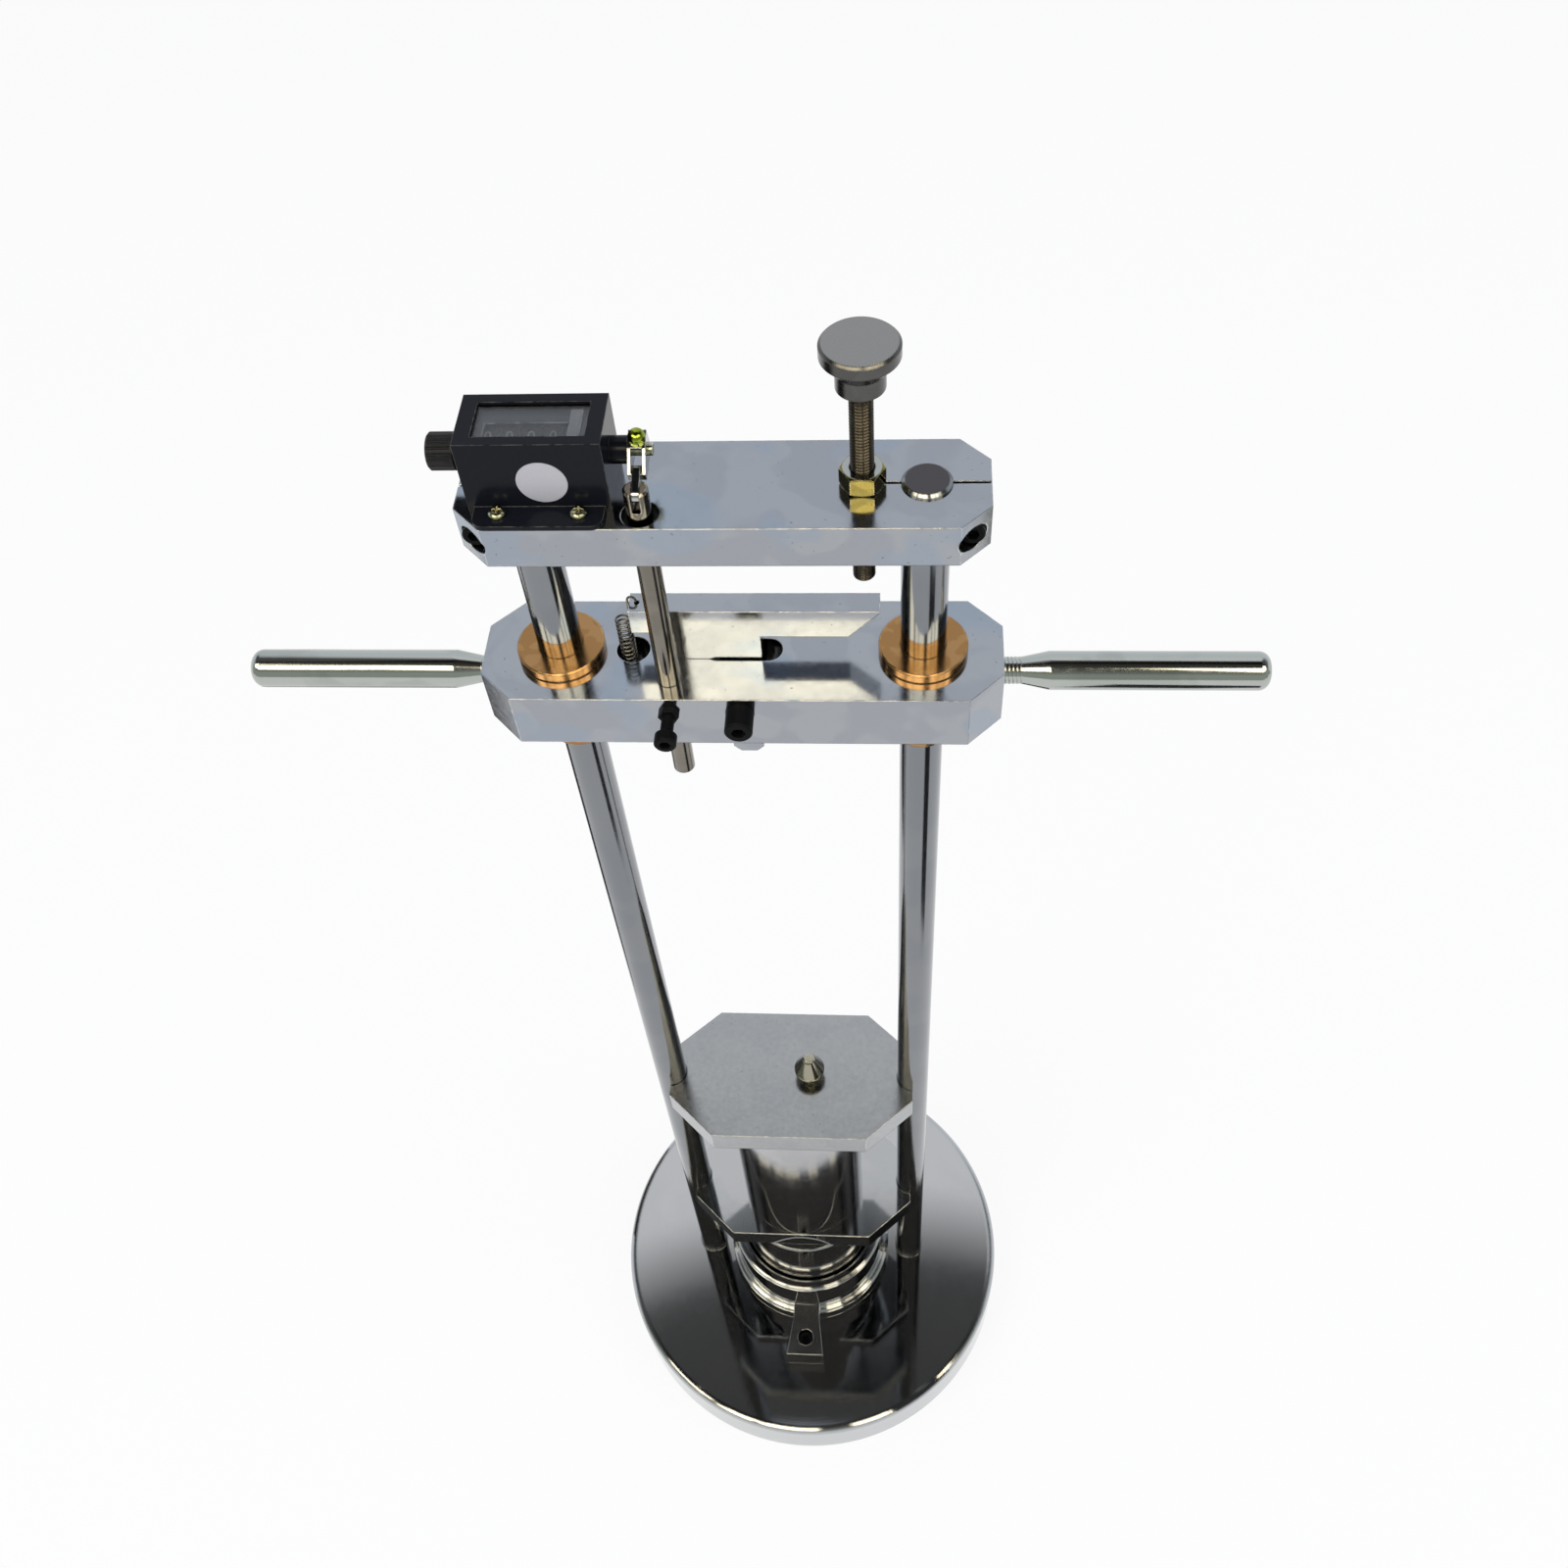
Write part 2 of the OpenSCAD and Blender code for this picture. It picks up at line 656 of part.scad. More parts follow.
module trip_rod() {
    color("silver") difference() {
        translate([rod_x, rod_y, rod_top_z - rod_l]) chamfered_rod(rod_d, rod_l, edge);
        translate([rod_x - rod_slot_w / 2, rod_y - rod_d, rod_top_z - rod_slot_h])
            cube([rod_slot_w, 2 * rod_d, rod_slot_h + over]);
        translate([rod_x - rod_d, rod_y, eye_z]) rotate([0, 90, 0])
            cylinder(d = cross_pin_d, h = 2 * rod_d);
    }
}

module rod_cross_pin() {
    pin_in = 0.3;
    color("silver") translate([rod_x - rod_d / 2 + pin_in, rod_y, eye_z]) rotate([0, 90, 0])
        cylinder(d = cross_pin_d, h = rod_d - 2 * pin_in);
}

module lift_plate() {
    cut_h = lift_h + 2 * over;
    color("lightsteelblue") difference() {
        translate([0, 0, lift_bottom]) chamfered_bar(lift_l, lift_w, lift_corner, lift_h);
        translate([0, 0, lift_bottom - over]) {
            at_columns() cylinder(d = bush_d, h = cut_h);
            linear_extrude(cut_h) {
                translate([slot_left, -slot_w / 2]) square([slot_right - slot_left, slot_w]);
                for (x = [slot_left, slot_right]) translate([x, 0]) circle(d = slot_w);
            }
            translate([well_x, 0, 0]) cylinder(d = well_d, h = cut_h);
            translate([rod_x, rod_y, 0]) cylinder(r = rod_d / 2 + rod_play, h = cut_h);
        }
        translate([pivot_x, -lift_w, pivot_z]) rotate([-90, 0, 0]) cylinder(d = pivot_screw_d, h = lift_w);
        translate([pivot_x, 0, pivot_z]) rotate([-90, 0, 0])
            cylinder(d = pivot_d, h = slot_w / 2 + pivot_in + thread_runout);
        translate([rod_x, -lift_w, pivot_z]) rotate([-90, 0, 0])
            cylinder(d = drag_screw_d, h = lift_w + rod_y);
        translate([well_x, -well_d / 2 - anchor_in, anchor_z]) rotate([-90, 0, 0])
            cylinder(d = anchor_d, h = well_d + 2 * anchor_in);
        for (side = [-1, 1]) translate([side * (lift_end + over), 0, handle_z]) rotate([0, -side * 90, 0])
            cylinder(d = handle_thread_d, h = over + handle_in + thread_runout);
    }
}

module bush() {
    color("peru") difference() {
        union() {
            translate([0, 0, lift_bottom - bush_below])
                chamfered_rod(bush_d, lift_h + bush_below + over, edge);
            translate([0, 0, lift_z]) chamfered_rod(bush_flange_d, bush_flange_h, fine_edge);
        }
        translate([0, 0, lift_bottom - bush_below - over])
            cylinder(r = column_d / 2 + run_play, h = lift_h + bush_below + bush_flange_h + 2 * over);
    }
}

module left_bush() {
    translate([-column_x, 0, 0]) bush();
}

module right_bush() {
    translate([column_x, 0, 0]) bush();
}

// Handle along +X whose thread starts at the plate's end
module handle(gap) {
    r = handle_d / 2;
    thread_r = handle_thread_d / 2;
    tip = 5;
    end = gap + handle_l;
    color("lightgray") translate([0, 0, handle_z]) rotate([0, 90, 0]) rotate_extrude()
        polygon(concat([[0, -handle_in], [thread_r - 1, -handle_in], [thread_r, 1 - handle_in],
            [thread_r, gap], [r, gap + handle_cone], [r, end - tip]],
            [for (a = [15:15:75]) [r - tip + tip * cos(a), end - tip + tip * sin(a)]],
            [[r - tip, end], [0, end]]));
}

module left_handle() {
    mirror([1, 0, 0]) translate([lift_end, 0, 0]) handle(left_handle_gap);
}

module right_handle() {
    translate([lift_end, 0, 0]) handle(right_handle_gap);
}

module latch_pivot_screw() {
    front = -lift_w / 2 - pivot_screw_out;
    shoulder = -slot_w / 2;
    socket_h = 6;
    color("dimgray") translate([pivot_x, front, pivot_z]) rotate([-90, 0, 0]) difference() {
        union() {
            chamfered_rod(pivot_screw_d, shoulder - front, edge);
            translate([0, 0, shoulder - front - over]) cylinder(d = pivot_d, h = over + slot_w + pivot_in);
        }
        translate([0, 0, -over]) cylinder(d = pivot_screw_d * 0.55, h = socket_h + over, $fn = 6);
    }
}

module rod_drag_screw() {
    reach = lift_w / 2 + rod_y - rod_d / 2 - 2 * face_play;
    color("dimgray") translate([rod_x, -lift_w / 2 - drag_screw_out, pivot_z]) rotate([90, 0, 0])
        cap_screw(drag_screw_d, drag_screw_d * 1.7, drag_screw_d, drag_screw_out + reach);
}

module drag_screw_nut() {
    nut_t = 2.6;
    color("dimgray") translate([rod_x, -lift_w / 2, pivot_z]) rotate([90, 0, 0]) difference() {
        cylinder(d = drag_screw_d * 1.6, h = nut_t, $fn = 6);
        translate([0, 0, -over]) cylinder(d = drag_screw_d, h = nut_t + 2 * over);
    }
}

module spring_anchor_pin() {
    color("silver") translate([well_x, -well_d / 2 - anchor_in, anchor_z]) rotate([-90, 0, 0])
        cylinder(d = anchor_d, h = well_d + 2 * anchor_in);
}

// Tube of the spring's wire through a list of points
module wire(path, sides = 8) {
    n = len(path);
    r = spring_wire / 2;
    rings = [for (i = [0:n - 1])
        let (t = path[min(i + 1, n - 1)] - path[max(i - 1, 0)], u = t / norm(t),
            side = cross(u, [0, 1, 0.001]), a = side / norm(side), b = cross(u, a))
        for (k = [0:sides - 1]) path[i] + r * (a * cos(360 * k / sides) + b * sin(360 * k / sides))];
    polyhedron(rings, concat([[for (k = [0:sides - 1]) sides - 1 - k]],
        [for (i = [0:n - 2], k = [0:sides - 1]) [i * sides + k, i * sides + (k + 1) % sides,
            (i + 1) * sides + (k + 1) % sides, (i + 1) * sides + k]],
        [[for (k = [0:sides - 1]) (n - 1) * sides + k]]), convexity = 10);
}

module latch_spring() {
    r = (spring_d - spring_wire) / 2;
    steps = 12;
    coil_steps = steps * spring_turns;
    coil_h = spring_high - spring_low;
    loop_r = (anchor_d + spring_wire) / 2 + 0.2;
    hook_start = spring_x + r + 0.2;
    hook_r = (eye_x - hook_start) / 2;
    hook_z = latch_up + 1.6;
    low_z = anchor_z - lift_z;
    color("gray") translate([0, 0, lift_z]) wire(concat(
        [for (a = [-180:30:90]) [well_x + loop_r * sin(a), 0, low_z - loop_r * cos(a)]],
        [for (i = [0:coil_steps]) let (a = 360 * i / steps)
            [spring_x + r * cos(a), r * sin(a), spring_low + coil_h * i / coil_steps]],
        [for (a = [180:-30:0]) [hook_start + hook_r * (1 + cos(a)), 0, hook_z + hook_r * sin(a)]],
        [[eye_x, 0, latch_up - 2.5]]));
}

module latch_lever() {
    hub_r = 10;
    leg_left = -8;
    leg_right = 1.6;
    round_r = 3.4;
    left_end = pivot_x - latch_left;
    right_end = pivot_x + latch_right;
    low = -latch_down;
    color("lightsteelblue") translate([0, latch_t / 2, lift_z]) rotate([90, 0, 0]) difference() {
        linear_extrude(latch_t) union() {
            polygon([[left_end, latch_up], [left_end, left_arm_up], [foot_left, left_arm_up],
                [foot_left, face_play], [leg_left - 1, face_play], [leg_left - 1, -pivot_down],
                [leg_left, -lift_h], [leg_left, low + round_r], [leg_left + round_r, low],
                [nose_x - round_r, low], [nose_x, low + round_r], [nose_x, low + nose_h],
                [leg_right, low + nose_h], [leg_right, -lift_h], [foot_right, -pivot_down],
                [foot_right, right_arm_up], [bevel_x, right_arm_up], [right_end, latch_up - 1],
                [right_end, latch_up]]);
            translate([pivot_x, -pivot_down]) circle(r = hub_r);
        }
        translate([pivot_x, -pivot_down, -over])
            cylinder(r = pivot_d / 2 + run_play, h = latch_t + 2 * over);
        translate([eye_x, latch_up + over, latch_t / 2]) rotate([90, 0, 0])
            cylinder(d = spring_hole_d, h = spring_hole_h + over);
    }
}

module octagon_plate(z, h) {
    a = guide_front / 2;
    b = guide_w / 2;
    c = guide_side / 2;
    translate([0, 0, z - h]) difference() {
        linear_extrude(h) polygon([[-a, -b], [a, -b], [column_x, -c], [column_x, c], [a, b], [-a, b],
            [-column_x, c], [-column_x, -c]]);
        at_columns() translate([0, 0, -over]) cylinder(r = column_d / 2 + guide_play, h = h + 2 * over);
    }
}

module upper_guide_plate() {
    color("lightsteelblue") difference() {
        octagon_plate(upper_plate_z, upper_plate_h);
        translate([0, 0, upper_plate_bottom - over]) cylinder(d = spigot_d, h = spigot_h + over);
        translate([pin_x, 0, upper_plate_z - pin_seat]) cylinder(d = pin_neck_d, h = pin_seat + over);
    }
}

module lower_guide_plate() {
    color("lightsteelblue") difference() {
        octagon_plate(lower_plate_z, lower_plate_h);
        translate([0, 0, lower_plate_bottom - over]) cylinder(d = spigot_d, h = lower_plate_h + 2 * over);
    }
}

module hammer_barrel() {
    wall_end = 16;
    barrel_l = upper_plate_bottom - lower_plate_z;
    color("slategray") difference() {
        union() {
            translate([0, 0, lower_plate_z]) cylinder(d = barrel_d, h = barrel_l);
            translate([0, 0, upper_plate_bottom - over]) cylinder(d = spigot_d, h = spigot_h + over);
            translate([0, 0, lower_plate_bottom - spigot_h])
                cylinder(d = spigot_d, h = spigot_h + lower_plate_h + over);
        }
        translate([0, 0, lower_plate_z + wall_end])
            cylinder(d = barrel_bore, h = barrel_l - 2 * wall_end);
    }
}

module hammer_head() {
    h = lower_plate_bottom - head_bottom;
    core_d = spigot_d - 4;
    color("slategray") translate([0, 0, head_bottom]) difference() {
        chamfered_rod(head_d, h, 1);
        translate([0, 0, h - spigot_h]) cylinder(d = spigot_d, h = spigot_h + over);
        translate([0, 0, head_floor]) cylinder(d = core_d, h = h - head_floor);
    }
}

module lifting_pin() {
    neck_r = pin_neck_d / 2;
    rim_r = pin_head_d / 2;
    rim_h = 2;
    point_r = 3;
    tip = pin_neck_h + pin_head_h;
    color("silver") translate([pin_x, 0, upper_plate_z]) rotate_extrude() polygon([[0, -pin_seat],
        [neck_r, -pin_seat], [neck_r, pin_neck_h], [rim_r, pin_neck_h], [rim_r, pin_neck_h + rim_h],
        [point_r + 1, tip - 1], [point_r, tip], [0, tip]]);
}

module cup() {
    top = cup_floor + cup_deep;
    r = cup_bore / 2;
    foot_round = 4;
    foot_x = foot_r - foot_round;
    foot_z = cup_foot_h - foot_round;
    rim_x = cup_r - cup_round;
    rim_z = top - cup_round;
    color("slategray") translate([0, 0, base_h]) rotate_extrude($fn = 180) polygon(concat(
        [[0, 0], [foot_r, 0], [foot_r, foot_z]],
        [for (a = [15:15:75]) [foot_x + foot_round * cos(a), foot_z + foot_round * sin(a)]],
        [[foot_x, cup_foot_h], [cup_r, cup_foot_h], [cup_r, rim_z]],
        [for (a = [15:15:90]) [rim_x + cup_round * cos(a), rim_z + cup_round * sin(a)]],
        [[r + 1, top], [r, top - 1], [r, cup_floor], [0, cup_floor]]));
}

module cup_clamp_block() {
    in_x = clamp_in_w / 2;
    out_x = clamp_out_w / 2;
    back = 6 - cup_r;
    flare = -foot_r - 6;
    color("slategray") difference() {
        translate([0, 0, base_h]) linear_extrude(clamp_h) polygon([[-in_x, back], [in_x, back],
            [in_x, flare], [out_x, -clamp_reach], [-out_x, -clamp_reach], [-in_x, flare]]);
        translate([0, 0, base_h - over])
            cylinder(r = foot_r + clamp_play, h = over + cup_foot_h + clamp_play);
        translate([0, 0, base_h]) cylinder(r = cup_r + clamp_play, h = clamp_h + over);
        translate([0, clamp_screw_y, base_h - over])
            cylinder(d = clamp_screw_d + bolt_hole_play, h = clamp_h + 2 * over);
        translate([0, clamp_screw_y, clamp_seat_z]) cylinder(d = clamp_hole_d, h = clamp_sink + over);
    }
}

module cup_clamp_screw() {
    l = clamp_h - clamp_sink + clamp_screw_in;
    color("black") translate([0, clamp_screw_y, clamp_seat_z])
        cap_screw(clamp_screw_d, clamp_hole_d - fine_edge, clamp_screw_d, l);
}

module adjusting_screw() {
    color("lightgray") translate([adjust_x, 0, adjust_tip_z])
        chamfered_rod(adjust_d, knob_top_z - knob_rim_h - adjust_tip_z, 1.2);
}

module adjusting_knob() {
    r = knob_d / 2;
    boss_r = knob_boss_d / 2;
    rim_edge = 1.5;
    low = knob_top_z - knob_rim_h - knob_cone_h - knob_boss_h;
    h = knob_top_z - low;
    rim_z = h - knob_rim_h;
    color("lightgray") translate([adjust_x, 0, low]) difference() {
        rotate_extrude() polygon([[0, 0], [boss_r - fine_edge, 0], [boss_r, fine_edge], [boss_r, knob_boss_h],
            [r - rim_edge, rim_z], [r, rim_z + rim_edge], [r, h - 1], [r - 1, h], [0, h]]);
        translate([0, 0, -over]) cylinder(r = adjust_d / 2 + run_play, h = rim_z + face_play + over);
    }
}

module lock_nut() {
    flat_r = nut_af / 2;
    corner_r = flat_r / cos(30) + 0.2;
    face_r = flat_r - 0.3;
    color("goldenrod") translate([adjust_x, 0, crosshead_z + face_play]) difference() {
        intersection() {
            cylinder(d = nut_af / cos(30), h = nut_h, $fn = 6);
            rotate_extrude() polygon([[0, 0], [face_r, 0], [corner_r, 1], [corner_r, nut_h - 1],
                [face_r, nut_h], [0, nut_h]]);
        }
        translate([0, 0, -over]) cylinder(r = adjust_d / 2 + run_play, h = nut_h + 2 * over);
    }
}

base_plate();
column_bolts();
left_column();
right_column();
crosshead();
crosshead_clamp_bolts();
counter_housing();
counter_window();
counter_screws();
shaft_bushing();
cup();
cup_clamp_block();
cup_clamp_screw();
hammer_head();
hammer_barrel();
upper_guide_plate();
lower_guide_plate();
lifting_pin();
lift_plate();
left_bush();
right_bush();
left_handle();
right_handle();
latch_pivot_screw();
rod_drag_screw();
drag_screw_nut();
spring_anchor_pin();
latch_spring();
latch_lever();
counter_lever();
lever_shaft();
lever_screw();
trip_rod();
rod_cross_pin();
units_wheel();
decade_wheels();
counter_shaft();
reset_knob();
adjusting_screw();
adjusting_knob();
lock_nut();
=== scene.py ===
import math

import bmesh
import bpy
from mathutils import Matrix, Vector


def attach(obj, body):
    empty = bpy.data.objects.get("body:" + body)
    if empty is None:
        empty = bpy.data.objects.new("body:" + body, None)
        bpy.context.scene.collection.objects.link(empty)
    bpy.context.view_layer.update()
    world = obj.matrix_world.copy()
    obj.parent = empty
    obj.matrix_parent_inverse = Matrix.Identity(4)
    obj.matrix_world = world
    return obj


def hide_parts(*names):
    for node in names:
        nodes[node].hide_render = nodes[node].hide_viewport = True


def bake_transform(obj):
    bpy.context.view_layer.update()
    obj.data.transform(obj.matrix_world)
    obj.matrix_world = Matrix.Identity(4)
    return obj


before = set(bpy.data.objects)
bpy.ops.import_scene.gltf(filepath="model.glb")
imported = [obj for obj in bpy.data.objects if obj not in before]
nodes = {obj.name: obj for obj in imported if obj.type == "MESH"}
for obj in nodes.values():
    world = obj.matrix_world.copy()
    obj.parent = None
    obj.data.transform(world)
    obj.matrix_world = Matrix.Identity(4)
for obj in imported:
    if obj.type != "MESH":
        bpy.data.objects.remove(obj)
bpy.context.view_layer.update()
scene = bpy.context.scene
print("stage: frame loaded,", len(nodes), "parts")


# small helpers; sizes in the piece dictionaries are in millimetres

def metres(value):
    return value / 1000.0


def addMeshPiece(name, points, faces, material, body, smooth=True):
    mesh = bpy.data.meshes.new(name)
    mesh.from_pydata([[metres(c) for c in p] for p in points], [], faces)
    mesh.validate()
    bm = bmesh.new()
    bm.from_mesh(mesh)
    bmesh.ops.recalc_face_normals(bm, faces=bm.faces[:])
    bm.to_mesh(mesh)
    bm.free()
    for polygon in mesh.polygons:
        polygon.use_smooth = smooth
    piece = bpy.data.objects.new(name, mesh)
    scene.collection.objects.link(piece)
    piece.data.materials.append(material)
    if body:
        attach(piece, body)
    return piece


def ringFaces(rows, sides, closedEnds=True):
    faces = []
    for i in range(rows - 1):
        for k in range(sides):
            j = (k + 1) % sides
            faces.append((i * sides + k, i * sides + j, (i + 1) * sides + j, (i + 1) * sides + k))
    if closedEnds:
        faces.append(tuple(reversed(range(sides))))
        faces.append(tuple(range((rows - 1) * sides, rows * sides)))
    return faces


# shader node groups

def addNode(tree, kind, values=None, **settings):
    node = tree.nodes.new(kind)
    for key, value in settings.items():
        setattr(node, key, value)
    for key, value in (values or {}).items():
        node.inputs[key].default_value = value
    return node


def startGroup(name, inputs, outputs):
    group = bpy.data.node_groups.new(name, "ShaderNodeTree")
    for label, kind, default in inputs:
        socket = group.interface.new_socket(name=label, in_out="INPUT", socket_type=kind)
        socket.default_value = default
    for label, kind in outputs:
        group.interface.new_socket(name=label, in_out="OUTPUT", socket_type=kind)
    source = addNode(group, "NodeGroupInput")
    target = addNode(group, "NodeGroupOutput")
    return group, source, target


def makePlatingClouds():
    # soft stains of the plating, as large as a thumb print, and pin-prick specks
    group, source, target = startGroup(
        "platingClouds",
        [("Scale", "NodeSocketFloat", 60.0), ("Cover", "NodeSocketFloat", 0.5),
         ("Contrast", "NodeSocketFloat", 1.0), ("Offset", "NodeSocketVector", (0, 0, 0))],
        [("Mask", "NodeSocketFloat"), ("Fine", "NodeSocketFloat"), ("Specks", "NodeSocketFloat")])
    link = group.links.new
    place = addNode(group, "ShaderNodeTexCoord")
    shift = addNode(group, "ShaderNodeVectorMath", operation="ADD")
    big = addNode(group, "ShaderNodeTexNoise", {"Detail": 2.0, "Roughness": 0.4, "Distortion": 0.4})
    small = addNode(group, "ShaderNodeTexNoise", {"Detail": 5.0, "Roughness": 0.6})
    tiny = addNode(group, "ShaderNodeTexNoise", {"Scale": 620.0, "Detail": 1.0})
    finer = addNode(group, "ShaderNodeMath", {1: 7.0}, operation="MULTIPLY")
    above = addNode(group, "ShaderNodeMath", operation="SUBTRACT")
    border = {"From Min": -0.05, "From Max": 0.05}
    step = addNode(group, "ShaderNodeMapRange", border, interpolation_type="SMOOTHSTEP")
    strong = addNode(group, "ShaderNodeMath", operation="MULTIPLY")
    dots = addNode(group, "ShaderNodeMapRange", {"From Min": 0.74, "From Max": 0.80})
    link(place.outputs["Object"], shift.inputs[0])
    link(source.outputs["Offset"], shift.inputs[1])
    link(shift.outputs[0], big.inputs["Vector"])
    link(shift.outputs[0], small.inputs["Vector"])
    link(shift.outputs[0], tiny.inputs["Vector"])
    link(source.outputs["Scale"], big.inputs["Scale"])
    link(source.outputs["Scale"], finer.inputs[0])
    link(finer.outputs[0], small.inputs["Scale"])
    link(big.outputs["Fac"], above.inputs[0])
    link(source.outputs["Cover"], above.inputs[1])
    link(above.outputs[0], step.inputs["Value"])
    link(step.outputs[0], strong.inputs[0])
    link(source.outputs["Contrast"], strong.inputs[1])
    link(tiny.outputs["Fac"], dots.inputs["Value"])
    link(strong.outputs[0], target.inputs["Mask"])
    link(small.outputs["Fac"], target.inputs["Fine"])
    link(dots.outputs[0], target.inputs["Specks"])
    return group


def makeGrindLines():
    # fine parallel marks of a grinding or turning pass, stretched along one direction
    group, source, target = startGroup(
        "grindLines",
        [("Stretch", "NodeSocketVector", (4.0, 400.0, 400.0)), ("Contrast", "NodeSocketFloat", 1.0)],
        [("Lines", "NodeSocketFloat")])
    link = group.links.new
    place = addNode(group, "ShaderNodeTexCoord")
    pull = addNode(group, "ShaderNodeVectorMath", operation="MULTIPLY")
    grain = addNode(group, "ShaderNodeTexNoise", {"Scale": 4.0, "Detail": 4.0, "Roughness": 0.7})
    centre = addNode(group, "ShaderNodeMath", {1: 0.5}, operation="SUBTRACT")
    strong = addNode(group, "ShaderNodeMath", operation="MULTIPLY")
    link(place.outputs["Object"], pull.inputs[0])
    link(source.outputs["Stretch"], pull.inputs[1])
    link(pull.outputs[0], grain.inputs["Vector"])
    link(grain.outputs["Fac"], centre.inputs[0])
    link(centre.outputs[0], strong.inputs[0])
    link(source.outputs["Contrast"], strong.inputs[1])
    link(strong.outputs[0], target.inputs["Lines"])
    return group


def makeTurnedRings():
    # rings that a lathe leaves round an upright axis
    group, source, target = startGroup(
        "turnedRings",
        [("Centre", "NodeSocketVector", (0, 0, 0)), ("Density", "NodeSocketFloat", 900.0),
         ("Contrast", "NodeSocketFloat", 1.0)],
        [("Rings", "NodeSocketFloat")])
    link = group.links.new
    place = addNode(group, "ShaderNodeTexCoord")
    shift = addNode(group, "ShaderNodeVectorMath", operation="SUBTRACT")
    flat = addNode(group, "ShaderNodeVectorMath", {1: (1, 1, 0)}, operation="MULTIPLY")
    radius = addNode(group, "ShaderNodeVectorMath", operation="LENGTH")
    parts = addNode(group, "ShaderNodeSeparateXYZ")
    both = addNode(group, "ShaderNodeMath", operation="ADD")
    grain = addNode(group, "ShaderNodeTexNoise", {"Detail": 3.0, "Roughness": 0.6}, noise_dimensions="1D")
    centre = addNode(group, "ShaderNodeMath", {1: 0.5}, operation="SUBTRACT")
    strong = addNode(group, "ShaderNodeMath", operation="MULTIPLY")
    link(place.outputs["Object"], shift.inputs[0])
    link(source.outputs["Centre"], shift.inputs[1])
    link(shift.outputs[0], flat.inputs[0])
    link(flat.outputs[0], radius.inputs[0])
    link(shift.outputs[0], parts.inputs[0])
    link(radius.outputs["Value"], both.inputs[0])
    link(parts.outputs["Z"], both.inputs[1])
    link(both.outputs[0], grain.inputs["W"])
    link(source.outputs["Density"], grain.inputs["Scale"])
    link(grain.outputs["Fac"], centre.inputs[0])
    link(centre.outputs[0], strong.inputs[0])
    link(source.outputs["Contrast"], strong.inputs[1])
    link(strong.outputs[0], target.inputs["Rings"])
    return group


def makeEdgeWear():
    # bright where a rounded copy of the normal leaves the flat one, broken up by noise; the edge colour it
    # lays on is partly rubbed wear and partly a painted edge highlight
    group, source, target = startGroup(
        "edgeWearAndHighlight",
        [("Width", "NodeSocketFloat", 0.0008), ("Breakup", "NodeSocketFloat", 250.0)],
        [("Edge", "NodeSocketFloat"), ("Rounded", "NodeSocketVector")])
    link = group.links.new
    rounded = addNode(group, "ShaderNodeBevel", samples=4)
    facing = addNode(group, "ShaderNodeNewGeometry")
    match = addNode(group, "ShaderNodeVectorMath", operation="DOT_PRODUCT")
    edge = addNode(group, "ShaderNodeMapRange", {"From Min": 0.995, "From Max": 0.93})
    grain = addNode(group, "ShaderNodeTexNoise", {"Detail": 2.0})
    place = addNode(group, "ShaderNodeTexCoord")
    broken = addNode(group, "ShaderNodeMapRange", {"From Min": 0.35, "From Max": 0.6})
    both = addNode(group, "ShaderNodeMath", operation="MULTIPLY")
    link(source.outputs["Width"], rounded.inputs["Radius"])
    link(rounded.outputs[0], match.inputs[0])
    link(facing.outputs["Normal"], match.inputs[1])
    link(match.outputs["Value"], edge.inputs["Value"])
    link(place.outputs["Object"], grain.inputs["Vector"])
    link(source.outputs["Breakup"], grain.inputs["Scale"])
    link(grain.outputs["Fac"], broken.inputs["Value"])
    link(edge.outputs[0], both.inputs[0])
    link(broken.outputs[0], both.inputs[1])
    link(both.outputs[0], target.inputs["Edge"])
    link(rounded.outputs[0], target.inputs["Rounded"])
    return group


platingClouds = makePlatingClouds()
grindLines = makeGrindLines()
turnedRings = makeTurnedRings()
edgeWearAndHighlight = makeEdgeWear()
print("stage: shader groups made")


# finishes

# a surface counts as level, or as a bore's wall, by the upward part of its normal
levelTilt = 0.9
wallTilt = 0.5
usualEdgeWidth = 0.0008
metalMarkDepth = 0.0004
coatingMarkDepth = 0.0002
pitColour = (0.06, 0.06, 0.07)

